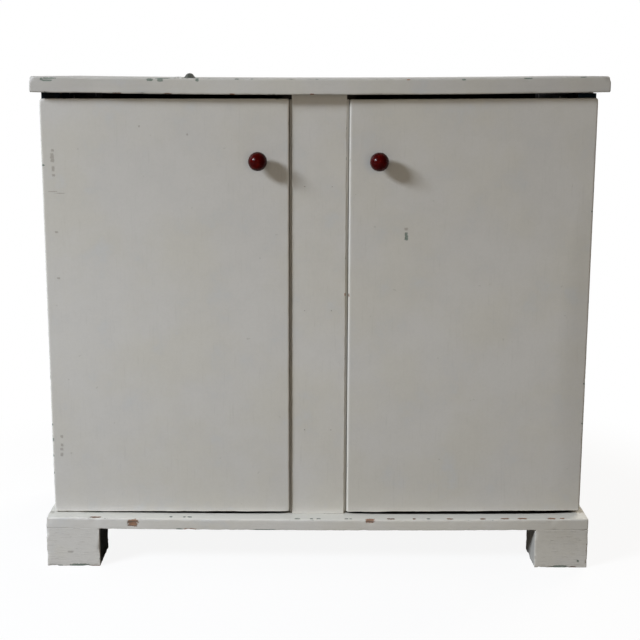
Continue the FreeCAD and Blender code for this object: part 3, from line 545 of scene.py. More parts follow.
def pine(name, grain, ring=26.0):
    """Bare pine gone brown with age: long rings, fine pores and a few knots, and painted shade just under
    the top.
    """
    material = new_material(name)
    spot = place(material)
    along = place(material, STRETCH[grain])
    sway = add("TexNoise", {"Vector": along, "Scale": 5.0, "Detail": 2.0}).outputs["Color"]
    bent = add("VectorMath", {0: sway, 1: (0.06, 0.06, 0.06), 2: along}, operation="MULTIPLY_ADD")
    rings = speckle(bent.outputs[0], ring, 5.0, 0.6)
    pores = speckle(along, 700.0, 3.0, 0.6)
    colour = mix(band(rings, 0.38, 0.60), PINE_LIGHT, PINE_DARK)
    colour = mix(band(pores, 0.45, 0.75, 0.0, 0.45), colour, PINE_DARK)
    knot_place = place(material, [0.35 + 0.65 * (number > 0.5) for number in STRETCH[grain]])
    knots = add("TexVoronoi", {"Vector": knot_place, "Scale": 4.2, "Randomness": 1.0})
    knot_share = band(knots.outputs["Distance"], 0.035, 0.075, 0.9, 0.0)
    colour = mix(knot_share, colour, PINE_KNOT)
    colour = mix(band(speckle(spot, 9.0), 0.45, 0.75, 0.0, 0.35), colour, GRIME_AND_SHADE)
    rough = band(pores, 0.2, 0.8, 0.55, 0.78)
    surface(shade_under_top(material, colour), rough, raised(pores, 0.5, PORE_DEPTH))
    return material


def dress(material, *nodes):
    """Gives carried-over CAD nodes their finish."""
    for node in nodes:
        mesh = frame["nodes"][node].data
        mesh.materials.clear()
        mesh.materials.append(material)


pine_upright = pine("pine_upright", "z")
side_paint = painted("painted_side", "z", rub=1.4, brush=0.7,
                     dirt_and_shade=[((-453, 40, 95), (6, 420, 40)), ((453, 40, 95), (6, 420, 40))],
                     green=[((453, 120, 500), (4, 9, 14)), ((-453, 70, 240), (4, 12, 7)),
                            ((-453, -90, 610), (4, 5, 18))])
for number, side in enumerate(("left_side", "right_side")):
    wall_low, wall_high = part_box(side)
    wall_high.z += SIDE_SPARE
    wall = worn_board(side + "_board", (wall_low, wall_high), SIDE_SOFT, SIDE_NET, SIDE_RAGGED,
                      seed=21 + number)
    fit_piece(wall, side_paint, "carcass", "painted_wood", side)
    wall.data.materials.append(pine_upright)
    for face in wall.data.polygons:
        inward = face.normal.x * wall.data.vertices[face.vertices[0]].co.x < 0
        if inward and abs(face.normal.x) > 0.9:
            face.material_index = 1


# Front frame: hanging stiles that carry the hinges, and a post behind the centre
# stile, all of pine. The stiles' fronts still have the old dark coat, which shows in
# the gap above the doors, made near black as painted shade there. Their outer sides
# and the post's front had the white; the post's front is painted black above the
# doors, as the shade in the gap.
NAVY_COAT_AND_SHADE = (0.002, 0.009, 0.016)
BLACK_COAT_AND_SHADE = (0.008, 0.009, 0.009)
SAME_FACE = 0.5 * MM
# The post's front above the doors is painted black, as the shade in the gap there.
frame_paint = painted("painted_frame", "z", rub=0, brush=0.7,
                      shade_marks=[((sign * 52, -163.5, 804), (26, 8, 28)) for sign in (-1, 1)])


def shaded_old_coat(name, grain):
    """The old dark coat alone, brushed on thin and gone dull, and so nearly black that it also stands as
    painted shade.
    """
    material = new_material(name)
    bristle = speckle(place(material, STRETCH[grain]), 380.0)
    cloud = speckle(place(material), 12.0)
    colour = mix(band(cloud, 0.35, 0.65), NAVY_COAT_AND_SHADE, BLACK_COAT_AND_SHADE)
    colour = mix(band(bristle, 0.68, 0.8, 0.0, 0.2), colour, BURNT_WOOD)
    surface(colour, band(cloud, 0.3, 0.7, 0.45, 0.7), raised(bristle, 0.6, PORE_DEPTH), specular=0.08)
    return material


def faced(node, inside, front, outer, front_y):
    """Dresses a CAD node with one finish inside, another in front and a third outside."""
    mesh = frame["nodes"][node].data
    mesh.materials.clear()
    for material in (inside, front, outer):
        mesh.materials.append(material)
    for face in mesh.polygons:
        if face.normal.y < -0.9 and face.center.y < front_y + SAME_FACE:
            face.material_index = 1
        elif face.normal.x * face.center.x > 0 and abs(face.normal.x) > 0.9 and outer is not inside:
            outermost = max(abs(corner.x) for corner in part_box(node))
            face.material_index = 2 if abs(face.center.x) > outermost - SAME_FACE else 0


coat_and_shade = shaded_old_coat("old_coat_and_shade", "z")
frame_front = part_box("centre_post")[0].y
for stile in ("left_hanging_stile", "right_hanging_stile"):
    faced(stile, pine_upright, coat_and_shade, frame_paint, frame_front)
faced("centre_post", pine_upright, frame_paint, pine_upright, frame_front)
dress(pine_upright, "centre_partition")


# Centre stile: a painted board nailed to the post between the doors, a little
# behind their faces. Its long edges are barely eased. It stands a hair to the right,
# and so do the grooves beside it.
STILE_NET = (5.0 * MM, 5.0 * MM, 4.0 * MM)
STILE_SOFT = [(1.5 * MM, 1.5 * MM), (1.5 * MM, 0.4 * MM), (0.3 * MM, 0.3 * MM)]
STILE_BACK = 1.5 * MM
GROOVES_ASIDE = 1.05 * MM
STILE_RAGGED = 0.5 * MM
STILE_RUN = 2.2 * MM
# Painted shade: the doors and the stile darken towards the top.
SHADE_TOWARD_TOP = ((0, -182, 830), (3000, 90, 700))
stile_paint = painted("painted_stile", "z", rub=1.5, brush=0.7, tone=1.10,
                      raw=[((45, -176, 470), (2, 4, 4)), ((-45, -176, 560), (2, 4, 5))], dirt_and_shade=[SHADE_TOWARD_TOP])
stile_low, stile_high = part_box("centre_stile")
stile_low.z -= base_hangs
stile_low.y += STILE_BACK
stile_low.x += GROOVES_ASIDE
stile_high.x += GROOVES_ASIDE
stile = worn_board("centre_stile_board", (stile_low, stile_high), STILE_SOFT, STILE_NET, STILE_RAGGED,
                   run=STILE_RUN, seed=31)
fit_piece(stile, stile_paint, "carcass", "painted_wood", "centre_stile")


# Old paint has run down into the two grooves beside the stile and filled their
# corners. The right one is nearly full at its top.
BEAD_GAP = 0.7 * MM
BEAD_STEP = 5.0 * MM
BEAD_START = 9.0 * MM
BEAD_LAP = 0.4 * MM
BEAD_BEHIND = 0.3 * MM
BEAD_SHARES = (0.0, 0.22, 0.4, 1.0)
BEAD_DEPTHS = {"left": (4.5, 4.0, 3.4, 2.2), "right": (0.0, 1.0, 2.5, 3.0)}
BEAD_HOLLOW = 1.5 * MM
BEAD_WAVER = 0.7 * MM
BEAD_OUTLINE = [(0.0, 0.0), (0.25, 0.55), (0.6, 0.9), (1.0, 1.0)]
# Painted shade: the left groove's paint is darker.
bead_paint = painted("painted_bead", "z", rub=0, brush=0.5, dirt_and_shade=[((-47, -172, 440), (8, 20, 900))])


def skinned(name, loops):
    """A closed skin over a row of loops of points, whose ends are flat or come to one point."""
    mesh = bmesh.new()
    rows = [[mesh.verts.new(point) for point in loop] for loop in loops]
    for row, following in zip(rows, rows[1:]):
        for corner in range(max(len(row), len(following))):
            after = corner + 1
            corners = [row[corner % len(row)], row[after % len(row)],
                       following[after % len(following)], following[corner % len(following)]]
            mesh.faces.new(list(dict.fromkeys(corners)))
    for end in (rows[0], rows[-1]):
        if len(end) > 1:
            mesh.faces.new(end)
    bmesh.ops.recalc_face_normals(mesh, faces=mesh.faces)
    data = bpy.data.meshes.new(name)
    mesh.to_mesh(data)
    mesh.free()
    return show(data, name)


def paint_bead(side):
    """A strip of dried paint between the stile's edge and the door, open to the front."""
    sign = -1 if side == "left" else 1
    post_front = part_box("centre_post")[0].y
    door_low, door_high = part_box(side + "_door_panel")
    near = (-stile_low.x if side == "left" else stile_high.x) - BEAD_LAP
    far = min(abs(door_low.x), abs(door_high.x)) + sign * GROOVES_ASIDE - BEAD_GAP
    rows = int((stile_high.z - stile_low.z - BEAD_START) / BEAD_STEP)
    loops = []
    for row in range(rows + 1):
        z = stile_high.z - BEAD_START - row * BEAD_STEP
        depth = np.interp(row / rows, BEAD_SHARES, BEAD_DEPTHS[side]) * MM
        depth += BEAD_WAVER * min(1.0, depth / MM) * noise.noise(Vector((sign, 0, z * 35)))
        outline = [(share, min(stile_low.y + depth + BEAD_HOLLOW * back, post_front))
                   for share, back in BEAD_OUTLINE]
        outline += [(1.0, post_front + BEAD_BEHIND), (0.0, post_front + BEAD_BEHIND)]
        loops.append([Vector((sign * (near + (far - near) * share), y, z)) for share, y in outline])
    return skinned(side + "_groove_paint", loops)


for side in ("left", "right"):
    bead = paint_bead(side)
    bead.data.materials.append(bead_paint)
    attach(bead, "carcass")


# Back: one sheet of thin plywood with its grain upright, nailed over the back edges
# of the carcass and never painted.
PLY_LIGHT = (0.450, 0.310, 0.175)
PLY_DARK = (0.330, 0.205, 0.105)
FIBRE_DEPTH = 0.12 * MM
plywood = new_material("plywood")
ply_along = place(plywood, (1.0, 1.0, 0.10))
figure = speckle(ply_along, 16.0, 6.0, 0.62)
fibre = speckle(place(plywood, STRETCH["z"]), 800.0, 3.0, 0.6)
ply_colour = mix(band(figure, 0.40, 0.60), PLY_LIGHT, PLY_DARK)
ply_colour = mix(band(fibre, 0.5, 0.75, 0.0, 0.4), ply_colour, PLY_DARK)
ply_cloud = speckle(place(plywood), 5.0)
ply_colour = mix(band(ply_cloud, 0.5, 0.8, 0.0, 0.3), ply_colour, GRIME_AND_SHADE)
# Painted shade: the inside darkens just under the top.
surface(shade_under_top(plywood, ply_colour), band(fibre, 0.2, 0.8, 0.5, 0.72), raised(fibre, 0.4, FIBRE_DEPTH))
dress(plywood, "back_panel")


# Shelves on their cleats, and the battens under the top: planed pine, bare, the
# shelves with their grain across the cupboard and the strips with theirs front to back.
pine_across = pine("pine_across", "x", 30.0)
pine_deep = pine("pine_deep", "y", 34.0)
for side in ("left", "right"):
    dress(pine_across, side + "_shelf")
    for strip in ("inner_shelf_cleat", "outer_shelf_cleat"):
        dress(pine_deep, f"{side}_{strip}")
    for strip in ("inner_top_batten", "outer_top_batten"):
        # The battens' front ends get the near-black coat, as painted shade in the gap above the doors.
        faced(f"{side}_{strip}", pine_deep, coat_and_shade, pine_deep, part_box(f"{side}_{strip}")[0].y)


# Top board: a thick glued-up board that has sagged in its middle. Its upper front
# edge is chipped through to the old green coat, and its right corner is knocked off.
TOP_NET = (3.0 * MM, 8.0 * MM, 3.2 * MM)
TOP_SOFT = [(2.5 * MM, 2.5 * MM)] * 3
TOP_SAG = (4.2 * MM, 3.4 * MM)
TOP_LEAN = (-2.2 * MM, 1.2 * MM)
TOP_THICKNESS = 25.5 * MM
TOP_RAISED = 0.4 * MM
TOP_ENDS = (2.2 * MM, 1.6 * MM)
TOP_FORWARD = 5.0 * MM
TOP_RAGGED = 0.6 * MM
TOP_CHIPS = [(-435, 6.4, 17, 6, 2.6), (-432, 2.8, 22, 8, 2.4), (-443, 4.6, 5, 6, 4), (-270, 3.2, 9, 6, 4),
             (-254, 3.4, 9, 6, 5), (-194.5, 2.6, 5, 5, 5), (232, 2.4, 6, 5, 2.5), (335, 1.6, 14, 7, 2),
             (423, 0.8, 9, 7, 2), (-131, 0.9, 6, 6, 1.6), (-107, 0.5, 3, 5, 1.5), (-250, 0.4, 24, 9, 1.8)]
TOP_RAW = [(-242, 24.8, 12, 4, 2), (-139, 24.8, 9, 4, 2), (-11, 24.5, 6, 4, 2), (-323, 24.8, 14, 4, 2),
           (143, 2, 5, 5, 1.6)]
FRONT_DENTS = [(468, 830, 13, 3.4), (-464, 829, 10, 2.2), (-434, 829, 9, 0.8), (-262, 828, 11, 0.7),
               (334, 828, 9, 0.7), (-365, 829, 60, 1.2), (-242, 799, 8, 0.8), (-11, 799, 5, 0.9),
               (120, 828, 12, 0.5)]
top_low, top_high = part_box("top_board")
top_low.x += TOP_ENDS[0]
top_high.x += TOP_ENDS[1]
top_low.y -= TOP_FORWARD
top_high.z += TOP_RAISED
top_low.z = top_high.z - TOP_THICKNESS
TOP_FRONT = top_low.y / MM


def on_top(x, below=3.5):
    return on_edge(x, below, top_low, top_high, TOP_SAG, TOP_LEAN)


# Painted shade: the top's front darkens towards its ends, most at the right; its edges have painted
# highlight.
top_paint = painted(
    "painted_top", "x", rub=1.2, brush=0.7, tone=0.95, edge_highlight=0.2,
    green=[(on_top(x, below), size) for x, below, *size in TOP_CHIPS]
          + [((-232, -166, 826), (22, 12, 5)), ((310, 40, 828), (9, 5, 5)), ((-390, 120, 828), (5, 7, 5))],
    raw=[(on_top(x, below), size) for x, below, *size in TOP_RAW] + [((-225, -169, 826), (8, 5, 5))],
    dirt_and_shade=[((0, 210, 828), (900, 40, 8)), ((-420, TOP_FRONT, 812), (420, 8, 40)),
          ((430, TOP_FRONT, 812), (620, 8, 50)), ((440, TOP_FRONT, 812), (300, 8, 40))])
TOP_DENTS = [((x, TOP_FRONT, z), reach, depth) for x, z, reach, depth in FRONT_DENTS]
TOP_DENTS.append(((466, 221, 829), 8, 1.6))
top = worn_board("top_board_planed", (top_low, top_high), TOP_SOFT, TOP_NET, TOP_RAGGED, TOP_DENTS, TOP_SAG,
                 TOP_LEAN, seed=41)
fit_piece(top, top_paint, "carcass", "painted_wood", "top_board")


# On the top, near the front, a blister of old paint stands up like a small dark
# dome, and beside it the white coat has lifted off the board in a thin flake.
BLISTER_X, BLISTER_Y = -207.5, -187.0
BLISTER_MIDDLE = Vector((BLISTER_X, BLISTER_Y, on_top(BLISTER_X, 0.3)[2])) * MM
BLISTER_REACH = 14.5 * MM
BLISTER_HEIGHT = 8.3 * MM
FLAKE_ENDS = (-238 * MM, -214 * MM)
FLAKE_DEPTHS = (-193 * MM, -178 * MM)
FLAKE_LIFT = 2.1 * MM
FLAKE_THICKNESS = 0.35 * MM
FLAKE_TORN = 2.5 * MM
GRIT_HEIGHT = 0.4 * MM


def blister():
    """A dome with a flared foot: a bell curve turned round, its skin uneven."""
    rings, turns = 14, 40
    loops = [[BLISTER_MIDDLE + Vector((0, 0, BLISTER_HEIGHT))]]
    for ring in range(1, rings + 1):
        out = ring / rings
        height = BLISTER_HEIGHT * (0.84 * math.exp(-(out / 0.56) ** 4) + 0.16 * (1 - out) ** 2 - 0.02 * out)
        loop = []
        for turn in range(turns):
            angle = 2 * math.pi * turn / turns
            way = Vector((math.cos(angle), math.sin(angle), 0))
            reach = BLISTER_REACH * out * (1 + 0.12 * noise.noise(way * 1.7))
            loop.append(BLISTER_MIDDLE + way * reach + Vector((0, 0, height)))
        loops.append(loop)
    return skinned("paint_blister", loops)


def flake():
    """A thin curl of paint that has come away from the board between its two ends."""
    columns, rows = 28, 8
    loops = []
    for column in range(columns + 1):
        along = column / columns
        x = FLAKE_ENDS[0] + (FLAKE_ENDS[1] - FLAKE_ENDS[0]) * along
        under = []
        for row in range(rows + 1):
            deep = row / rows
            edge = FLAKE_TORN * noise.noise(Vector((along * 6, row > rows / 2, 0)))
            y = FLAKE_DEPTHS[0] + (FLAKE_DEPTHS[1] - FLAKE_DEPTHS[0]) * deep + edge * abs(2 * deep - 1)
            lift = FLAKE_LIFT * math.sin(math.pi * along) ** 0.7 * math.sin(math.pi * deep ** 0.6)
            under.append(Vector((x, y, on_top(x / MM, 0.2)[2] * MM + lift)))
        over = [point + Vector((0, 0, FLAKE_THICKNESS)) for point in under]
        loops.append(over + under[::-1])
    return skinned("lifted_flake", loops)


LUMP_OLIVE = (0.078, 0.082, 0.070)
LUMP_DARK = (0.042, 0.044, 0.036)
old_lump = new_material("old_paint_lump")
lump_grit = speckle(place(old_lump), 500.0, 5.0, 0.7)
surface(mix(band(lump_grit, 0.4, 0.65), LUMP_OLIVE, LUMP_DARK),
        band(lump_grit, 0.3, 0.7, 0.4, 0.7), raised(lump_grit, 0.6, GRIT_HEIGHT))
flake_paint = painted("flake_paint", "x", rub=0.1, brush=0.4)
for piece, material in ((blister(), old_lump), (flake(), flake_paint)):
    piece.data.materials.append(material)
    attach(piece, "carcass")


# Doors: plain slabs with softly rounded fronts, painted on both sides, with seats cut
# for the hinge leaves. In front of the left one's hinges the screws' points have
# raised small dark spots.
DOOR_NET = (4.5 * MM, 3.0 * MM, 4.5 * MM)
DOOR_SOFT = {"left": [(3.0 * MM, 3.0 * MM), (2.5 * MM, 0.7 * MM), (1.0 * MM, 2.5 * MM)],
             "right": [(4.5 * MM, 3.0 * MM), (3.2 * MM, 0.7 * MM), (1.0 * MM, 2.5 * MM)]}
DOOR_LEAN = {"left": (-1.0 * MM, 0.1 * MM), "right": (-0.7 * MM, 3.1 * MM)}
DOOR_TRIM = (1.0 * MM, 1.9 * MM)
DOOR_RUN = 1.4 * MM
DOOR_RAGGED = 0.4 * MM
DOOR_TONE = {"left": 1.08, "right": 1.07}
LEAF_SEAT = 0.1 * MM
LEAF_SEAT_DEPTH = 1.65 * MM
SEAT_PAST_PIN = 4 * MM
BARREL_ROOM = 2.9 * MM
BARREL_SPARE = 1.5 * MM
DOOR_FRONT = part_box("left_door_panel")[0].y / MM
DOOR_CORNER = -181


def on_door(x, z, width, height, y=DOOR_FRONT):
    """A mark on a door's face."""
    return (x, y, z), (width, 4, height)


LEFT_CORNER = [(-452, 217.6, 4, 6), (-452, 244, 3, 3), (-452, 188.7, 3, 4), (-452, 158, 3, 3)]
LEFT_STAINS = [(-434, 707.7, 5, 4), (-435, 698, 6, 9), (-434.6, 692, 6, 7), (-434.2, 677.6, 5, 9),
               (-433.8, 667, 5, 4), (-436.5, 223, 5, 5), (-437, 208, 5, 5), (-437.3, 200.7, 5, 5),
               (-437.7, 191, 5, 6), (-436, 640.6, 16, 1.4), (-424, 637.8, 16, 1.4), (-432.5, 573.8, 5, 3),
               (-432, 496.7, 5, 3), (-292, 747.3, 3, 3), (-214, 734.3, 3, 3)]
RIGHT_CORNER = [(451, 611.5, 4, 3), (451, 319, 4, 3), (451, 249, 4, 3)]
left_marks = dict(
    green=[on_door(-449.6, 683.6, 4, 3)] + [on_door(*mark, DOOR_CORNER) for mark in LEFT_CORNER],
    stains=[on_door(*mark) for mark in LEFT_STAINS], dirt_and_shade=[SHADE_TOWARD_TOP])
# Painted shade: the right door darkens towards its right edge and its top.
right_marks = dict(
    green=[on_door(145.3, 571.8, 5, 7), on_door(145.6, 566, 6, 8)]
          + [on_door(*mark, DOOR_CORNER) for mark in RIGHT_CORNER],
    raw=[on_door(51, 470, 2.5, 5, -182)], stains=[on_door(144.9, 581, 6, 5)],
    dirt_and_shade=[SHADE_TOWARD_TOP, ((440, DOOR_FRONT, 440), (70, 5, 700)), ((320, DOOR_FRONT, 790), (560, 5, 280)),
          ((380, DOOR_FRONT, 800), (400, 5, 160))])
for side, marks in (("left", left_marks), ("right", right_marks)):
    sign = -1 if side == "left" else 1
    node = side + "_door_panel"
    dents = [((sign * 453, -182.5, 700), 6, 0.5), ((sign * 453, -182.5, 320), 6, 0.6),
             ((sign * 49, -182.5, 794), 7, 0.9), ((sign * 453, -182.5, 794), 9, 1.2),
             ((sign * 49, -182.5, 89), 6, 0.8)]
    slab_low, slab_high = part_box(node)
    slab_low.z += DOOR_TRIM[0]
    slab_high.z -= DOOR_TRIM[1]
    inner_edge = slab_high if side == "left" else slab_low
    inner_edge.x += GROOVES_ASIDE
    slab = worn_board(node + "_slab", (slab_low, slab_high), DOOR_SOFT[side], DOOR_NET, DOOR_RAGGED, dents,
                      lean=DOOR_LEAN[side], run=DOOR_RUN, seed=51 + sign)
    axis = next(joint for joint in frame["joints"] if joint["child"] == side + "_door")["pos_m"]
    seats = []
    for hinge in ("upper_hinge", "lower_hinge"):
        leaf_low, leaf_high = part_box(f"{side}_{hinge}_door_leaf")
        middle = (leaf_low.z + leaf_high.z) / 2
        tall = leaf_high.z - leaf_low.z
        inner = leaf_high.x if sign < 0 else leaf_low.x
        inner -= sign * LEAF_SEAT
        outer = sign * (abs(axis[0]) + SEAT_PAST_PIN)
        seats.append(cutter(abs(outer - inner), 2 * LEAF_SEAT_DEPTH, tall + 2 * LEAF_SEAT,
                            Vector(((inner + outer) / 2, axis[1], middle))))
        seats.append(cutter(2 * BARREL_ROOM, 0, tall + 2 * BARREL_SPARE, Vector((axis[0], axis[1], middle))))
    for seat in seats:
        cut_out(slab, [seat])
    # The doors' edges are painted whiter, as highlight.
    door_paint = painted(side + "_door_paint", "z", rub=1.2, brush=0.55, tone=DOOR_TONE[side], edge_highlight=0.5,
                         **marks)
    fit_piece(slab, door_paint, side + "_door", "painted_wood", node)


# Knobs: turned balls on a short neck and collar, dipped in dark red lacquer and
# polished by hands. Each is held by a screw from behind its door.
LACQUER = (0.036, 0.0006, 0.0004)
LACQUER_BRIGHT = (0.070, 0.0016, 0.0008)
COLLAR_RADIUS = 9.0 * MM
COLLAR_THICKNESS = 2.5 * MM
NECK_RADIUS = 6.5 * MM
BALL_RADIUS = 15.4 * MM
COLLAR_BACK_EASED = 0.4 * MM
COLLAR_EASED = 0.7 * MM
NECK_WAIST = 0.7 * MM
NECK_FOOT = 0.8 * MM
LACQUER_WAVE = 0.25 * MM


def knob_outline(reach):
    """Radius and distance from the door along the knob, collar first."""
    centre = reach - BALL_RADIUS
    outline = [(0.0, 0.0), (COLLAR_RADIUS - COLLAR_BACK_EASED, 0.0), (COLLAR_RADIUS, COLLAR_BACK_EASED),
               (COLLAR_RADIUS, COLLAR_THICKNESS - COLLAR_EASED),
               (COLLAR_RADIUS - COLLAR_EASED, COLLAR_THICKNESS)]
    neck_end = centre - math.sqrt(BALL_RADIUS ** 2 - NECK_RADIUS ** 2)
    for step in range(9):
        share = step / 8
        waist = NECK_RADIUS - NECK_WAIST * math.sin(math.pi * share)
        outline.append((waist + NECK_FOOT * (1 - share) ** 3,
                        COLLAR_THICKNESS + (neck_end - COLLAR_THICKNESS) * share))
    start = math.asin(NECK_RADIUS / BALL_RADIUS)
    for step in range(1, 37):
        angle = start + (math.pi - start) * step / 36
        outline.append((BALL_RADIUS * math.sin(angle), centre - BALL_RADIUS * math.cos(angle)))
    return outline


def turned_knob(side):
    low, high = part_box(side + "_knob")
    turns = 72
    loops = []
    for radius, out in knob_outline(high.y - low.y):
        middle = Vector(((low.x + high.x) / 2, high.y - out, (low.z + high.z) / 2))
        angles = [2 * math.pi * turn / turns for turn in range(turns)] if radius > WELD else [0.0]
        loops.append([middle + Vector((math.cos(angle), 0, math.sin(angle))) * radius for angle in angles])
    knob = skinned(side + "_knob_ball", loops)
    knob.data.set_sharp_from_angle(angle=math.radians(60))
    return knob


lacquer = new_material("red_lacquer")
lacquer_cloud = speckle(place(lacquer), 130.0, 4.0, 0.6)
lacquer_scuffs = speckle(place(lacquer), 900.0, 3.0, 0.6)
surface(mix(band(lacquer_cloud, 0.45, 0.7), LACQUER, LACQUER_BRIGHT),
        band(lacquer_scuffs, 0.4, 0.8, 0.20, 0.30), raised(lacquer_cloud, 0.25, LACQUER_WAVE), specular=0.14)
for side in ("left", "right"):
    knob = turned_knob(side)
    fit_piece(knob, lacquer, side + "_door", "knob_lacquer", side + "_knob")


# Hinges: plain steel butts, their leaves screwed flat into seats in door and
# stile, browned and smeared with white where the painter's brush went over.
STEEL = (0.300, 0.285, 0.265)
STEEL_BROWN = (0.120, 0.080, 0.055)
SCRATCH_DEPTH = 0.05 * MM


def steel(name, colour, tarnish, smear_and_shade):
    """Steel gone dull and brown in patches, some with paint left on it."""
    material = new_material(name)
    spot = place(material)
    patch = speckle(spot, 160.0, 6.0, 0.7)
    scratch = speckle(place(material, (0.08, 1.0, 1.0)), 1500.0, 2.0, 0.5)
    tone = mix(band(patch, 0.45, 0.7, 0.0, tarnish), colour, STEEL_BROWN)
    daub = band(speckle(spot, 90.0, 5.0, 0.65), 0.62, 0.66, 0.0, smear_and_shade)
    tone = mix(daub, tone, OFF_WHITE)
    rough = sum_up("ADD", band(patch, 0.3, 0.7, 0.30, 0.58), sum_up("MULTIPLY", scratch, 0.1))
    surface(tone, rough, raised(scratch, 0.3, SCRATCH_DEPTH), metal=1.0)
    return material


hinge_steel = steel("hinge_steel", STEEL, 0.8, 0.9)
for side in ("left", "right"):
    for hinge in ("upper_hinge", "lower_hinge"):
        dress(hinge_steel, f"{side}_{hinge}_door_leaf", f"{side}_{hinge}_fixed_leaf")
dress(hinge_steel, "hinge_pins")


# Catches: a brown plastic case on the post with a dark magnet between two steel
# plates, and a zinc-plated strike plate on the back of each door.
CASE_BROWN = (0.130, 0.062, 0.030)
MAGNET_BLACK = (0.022, 0.022, 0.024)
ZINC = (0.520, 0.520, 0.510)
DIMPLE_DEPTH = 0.06 * MM


def moulded(name, colour, rough, grit):
    """Moulded plastic or pressed ferrite: one colour, finely grained and handled."""
    material = new_material(name)
    grain = speckle(place(material), grit, 4.0, 0.6)
    wear = speckle(place(material), 60.0, 5.0, 0.6)
    worn = [2.2 * part for part in colour]
    surface(mix(band(wear, 0.45, 0.75, 0.0, 0.5), colour, worn),
            band(grain, 0.3, 0.7, rough - 0.08, rough + 0.12), raised(grain, 0.4, DIMPLE_DEPTH))
    return material


case_plastic = moulded("brown_plastic", CASE_BROWN, 0.42, 900.0)
magnet_ferrite = moulded("dark_ferrite", MAGNET_BLACK, 0.55, 1400.0)
plated = steel("zinc_plate", ZINC, 0.25, 0.0)
for side in ("left", "right"):
    dress(case_plastic, side + "_catch_case")
    dress(magnet_ferrite, side + "_catch_magnet")
    dress(plated, side + "_catch_poles", side + "_strike_plate")


# Screws, pins and dowels: slotted steel screws and flat-headed nails, dulled and
# rusty in their slots, and beech dowels between the sides and the hanging stiles.
BEECH_LIGHT = (0.500, 0.330, 0.190)
FLECK_DEPTH = 0.1 * MM
screw_steel = steel("screw_steel", STEEL, 0.6, 0.0)
for node in frame["nodes"]:
    if node.endswith(("screws", "_knob_screw", "_pins")) and node != "hinge_pins":
        dress(screw_steel, node)
beech = new_material("beech")
beech_fleck = speckle(place(beech, STRETCH["y"]), 900.0, 3.0, 0.6)
surface(mix(band(beech_fleck, 0.4, 0.7), BEECH_LIGHT, PINE_DARK),
        band(beech_fleck, 0.3, 0.7, 0.5, 0.7), raised(beech_fleck, 0.4, FLECK_DEPTH))
dress(beech, "frame_dowels")


# Floor: a plain pale floor that is white to the camera, but keeps the cupboard's
# own shadow close around its feet.
FLOOR_SIZE = 60.0
FLOOR_SEEN = (0.95, 0.95, 0.95)
FLOOR_THROWS = (0.14, 0.135, 0.13)
SHADOW_SHARE = 0.10
SHADOW_REACH = (0.65, 1.05)
MIRRORED_FROM = (0.3, 0.6)


def shown(material, behind):
    """1 to the camera, also through glass, and in reflections where it is behind the cupboard."""
    path = add("LightPath", {}, material).outputs
    mirrored = sum_up("MULTIPLY", path["Is Glossy Ray"], behind)
    seen = sum_up("MAXIMUM", path["Is Camera Ray"], path["Is Transmission Ray"])
    return sum_up("MAXIMUM", seen, mirrored)


reach = FLOOR_SIZE / 2
floor_data = bpy.data.meshes.new("floor")
floor_data.from_pydata([(-reach, -reach, 0), (reach, -reach, 0), (reach, reach, 0), (-reach, reach, 0)], [],
                       [(0, 1, 2, 3)])
floor = show(floor_data, "floor")
floor_paint = new_material("floor_white")
white = add("Emission", {"Color": (1, 1, 1, 1), "Strength": 1.0}, floor_paint)
distance = add("VectorMath", {0: place(floor_paint)}, operation="LENGTH").outputs["Value"]
depth_there = add("SeparateXYZ", {"Vector": place(floor_paint)}).outputs["Y"]
seen = shown(floor_paint, band(depth_there, *MIRRORED_FROM))
matt = add("BsdfDiffuse", {"Color": mix(seen, FLOOR_THROWS, FLOOR_SEEN)})
whiteness = band(distance, *SHADOW_REACH, 1 - SHADOW_SHARE, 1.0)
blend_share = sum_up("MULTIPLY", seen, whiteness)
floor_mix = add("MixShader", {0: blend_share, 1: matt.outputs[0], 2: white.outputs[0]})
add("OutputMaterial", {"Surface": floor_mix.outputs[0]})
floor_data.materials.append(floor_paint)


# Light: a soft window on the left, whose grazing light draws the long shadows of the
# knobs, a weaker and warmer light from in front, and another from behind.
WINDOW_TURN = math.radians(-56)
WINDOW_RISE = math.radians(26)
WINDOW_DISTANCE = 4.2
WINDOW_SIZE = (1.3, 1.05)
WINDOW_POWER = 300.0
WINDOW_COLOUR = (0.855, 0.91, 1.0)
WINDOW_TILT = math.radians(50)
FRONT_PLACE = Vector((0.3, -3.4, 0.9))
FRONT_SIZE = (2.4, 1.4)
FRONT_POWER = 31.0
BACK_PLACE = Vector((2.2, 2.6, 2.4))
BACK_SIZE = (2.0, 2.0)
BACK_POWER = 90.0
ROOM_COLOUR = (1.0, 0.885, 0.73)
ROOM_STRENGTH = 0.05
BACKDROP_EDGE = (-0.05, 0.25)
aim = Vector((0.0, -0.18, 0.62))


def lamp(name, place_there, facing, size, power, colour):
    data = bpy.data.lights.new(name, "AREA")
    data.shape = "RECTANGLE"
    data.size, data.size_y = size
    data.energy = power
    data.color = colour
    fitting = bpy.data.objects.new(name, data)
    fitting.location = place_there
    fitting.rotation_euler = facing.to_track_quat("Z", "Y").to_euler()
    fitting.visible_camera = False
    bpy.context.scene.collection.objects.link(fitting)
    return fitting


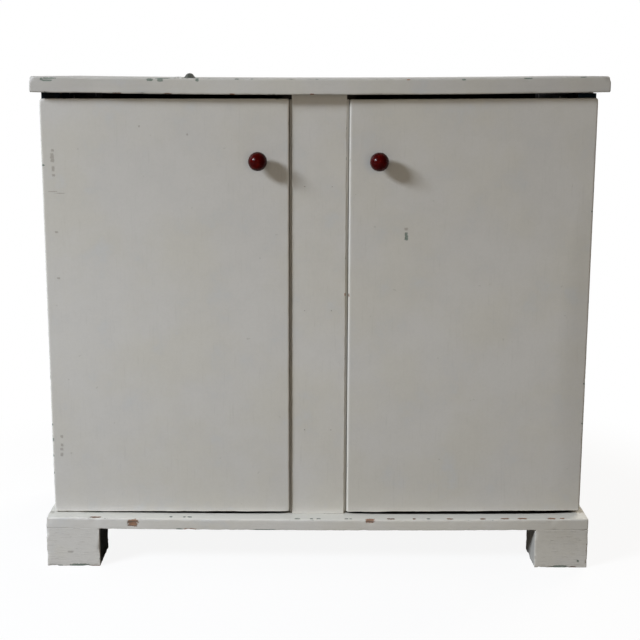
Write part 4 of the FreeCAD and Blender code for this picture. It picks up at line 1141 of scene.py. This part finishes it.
way = Vector((math.sin(WINDOW_TURN) * math.cos(WINDOW_RISE), -math.cos(WINDOW_TURN) * math.cos(WINDOW_RISE),
              math.sin(WINDOW_RISE)))
tilted = way @ Matrix.Rotation(WINDOW_TILT, 3, Vector((math.cos(WINDOW_TURN), math.sin(WINDOW_TURN), 0)))
lamp("window", aim + way * WINDOW_DISTANCE, tilted, WINDOW_SIZE, WINDOW_POWER, WINDOW_COLOUR)
for name, spot, size, power in (("front_light", FRONT_PLACE, FRONT_SIZE, FRONT_POWER),
                                ("back_light", BACK_PLACE, BACK_SIZE, BACK_POWER)):
    lamp(name, spot, spot - aim, size, power, ROOM_COLOUR).visible_glossy = False

world = bpy.data.worlds.new("room")
bpy.context.scene.world = world
world.use_nodes = True
world.node_tree.nodes.clear()
way_there = add("SeparateXYZ", {"Vector": add("TexCoord", {}, world).outputs["Generated"]})
room = add("Background", {"Color": coloured(ROOM_COLOUR), "Strength": ROOM_STRENGTH}, world)
backdrop = add("Background", {"Color": (1, 1, 1, 1), "Strength": 1.0}, world)
behind = band(way_there.outputs["Y"], *BACKDROP_EDGE)
sky = add("MixShader", {0: shown(world, behind), 1: room.outputs[0], 2: backdrop.outputs[0]})
add("OutputWorld", {"Surface": sky.outputs[0]})
bpy.context.scene.view_settings.view_transform = "Standard"


# Camera: level with the top board and two metres from the doors, looking slightly
# down, as the photograph was taken.
CAMERA_PLACE = Vector((1.3, -2217.8, 831.85)) * MM
CAMERA_PITCH = 11.24
CAMERA_YAW = 0.057
CAMERA_ROLL = 0.22
CAMERA_LENS = 69.69
CAMERA_FILM = 36.0
camera_data = bpy.data.cameras.new("camera")
camera_data.sensor_width = CAMERA_FILM
camera_data.lens = CAMERA_LENS
camera = bpy.data.objects.new("camera", camera_data)
bpy.context.scene.collection.objects.link(camera)
turn = Euler((math.radians(90 - CAMERA_PITCH), 0, math.radians(-CAMERA_YAW))).to_matrix()
roll = Matrix.Rotation(math.radians(CAMERA_ROLL), 3, "Z")
camera.rotation_euler = (turn @ roll).to_euler()
camera.location = CAMERA_PLACE
bpy.context.scene.camera = camera
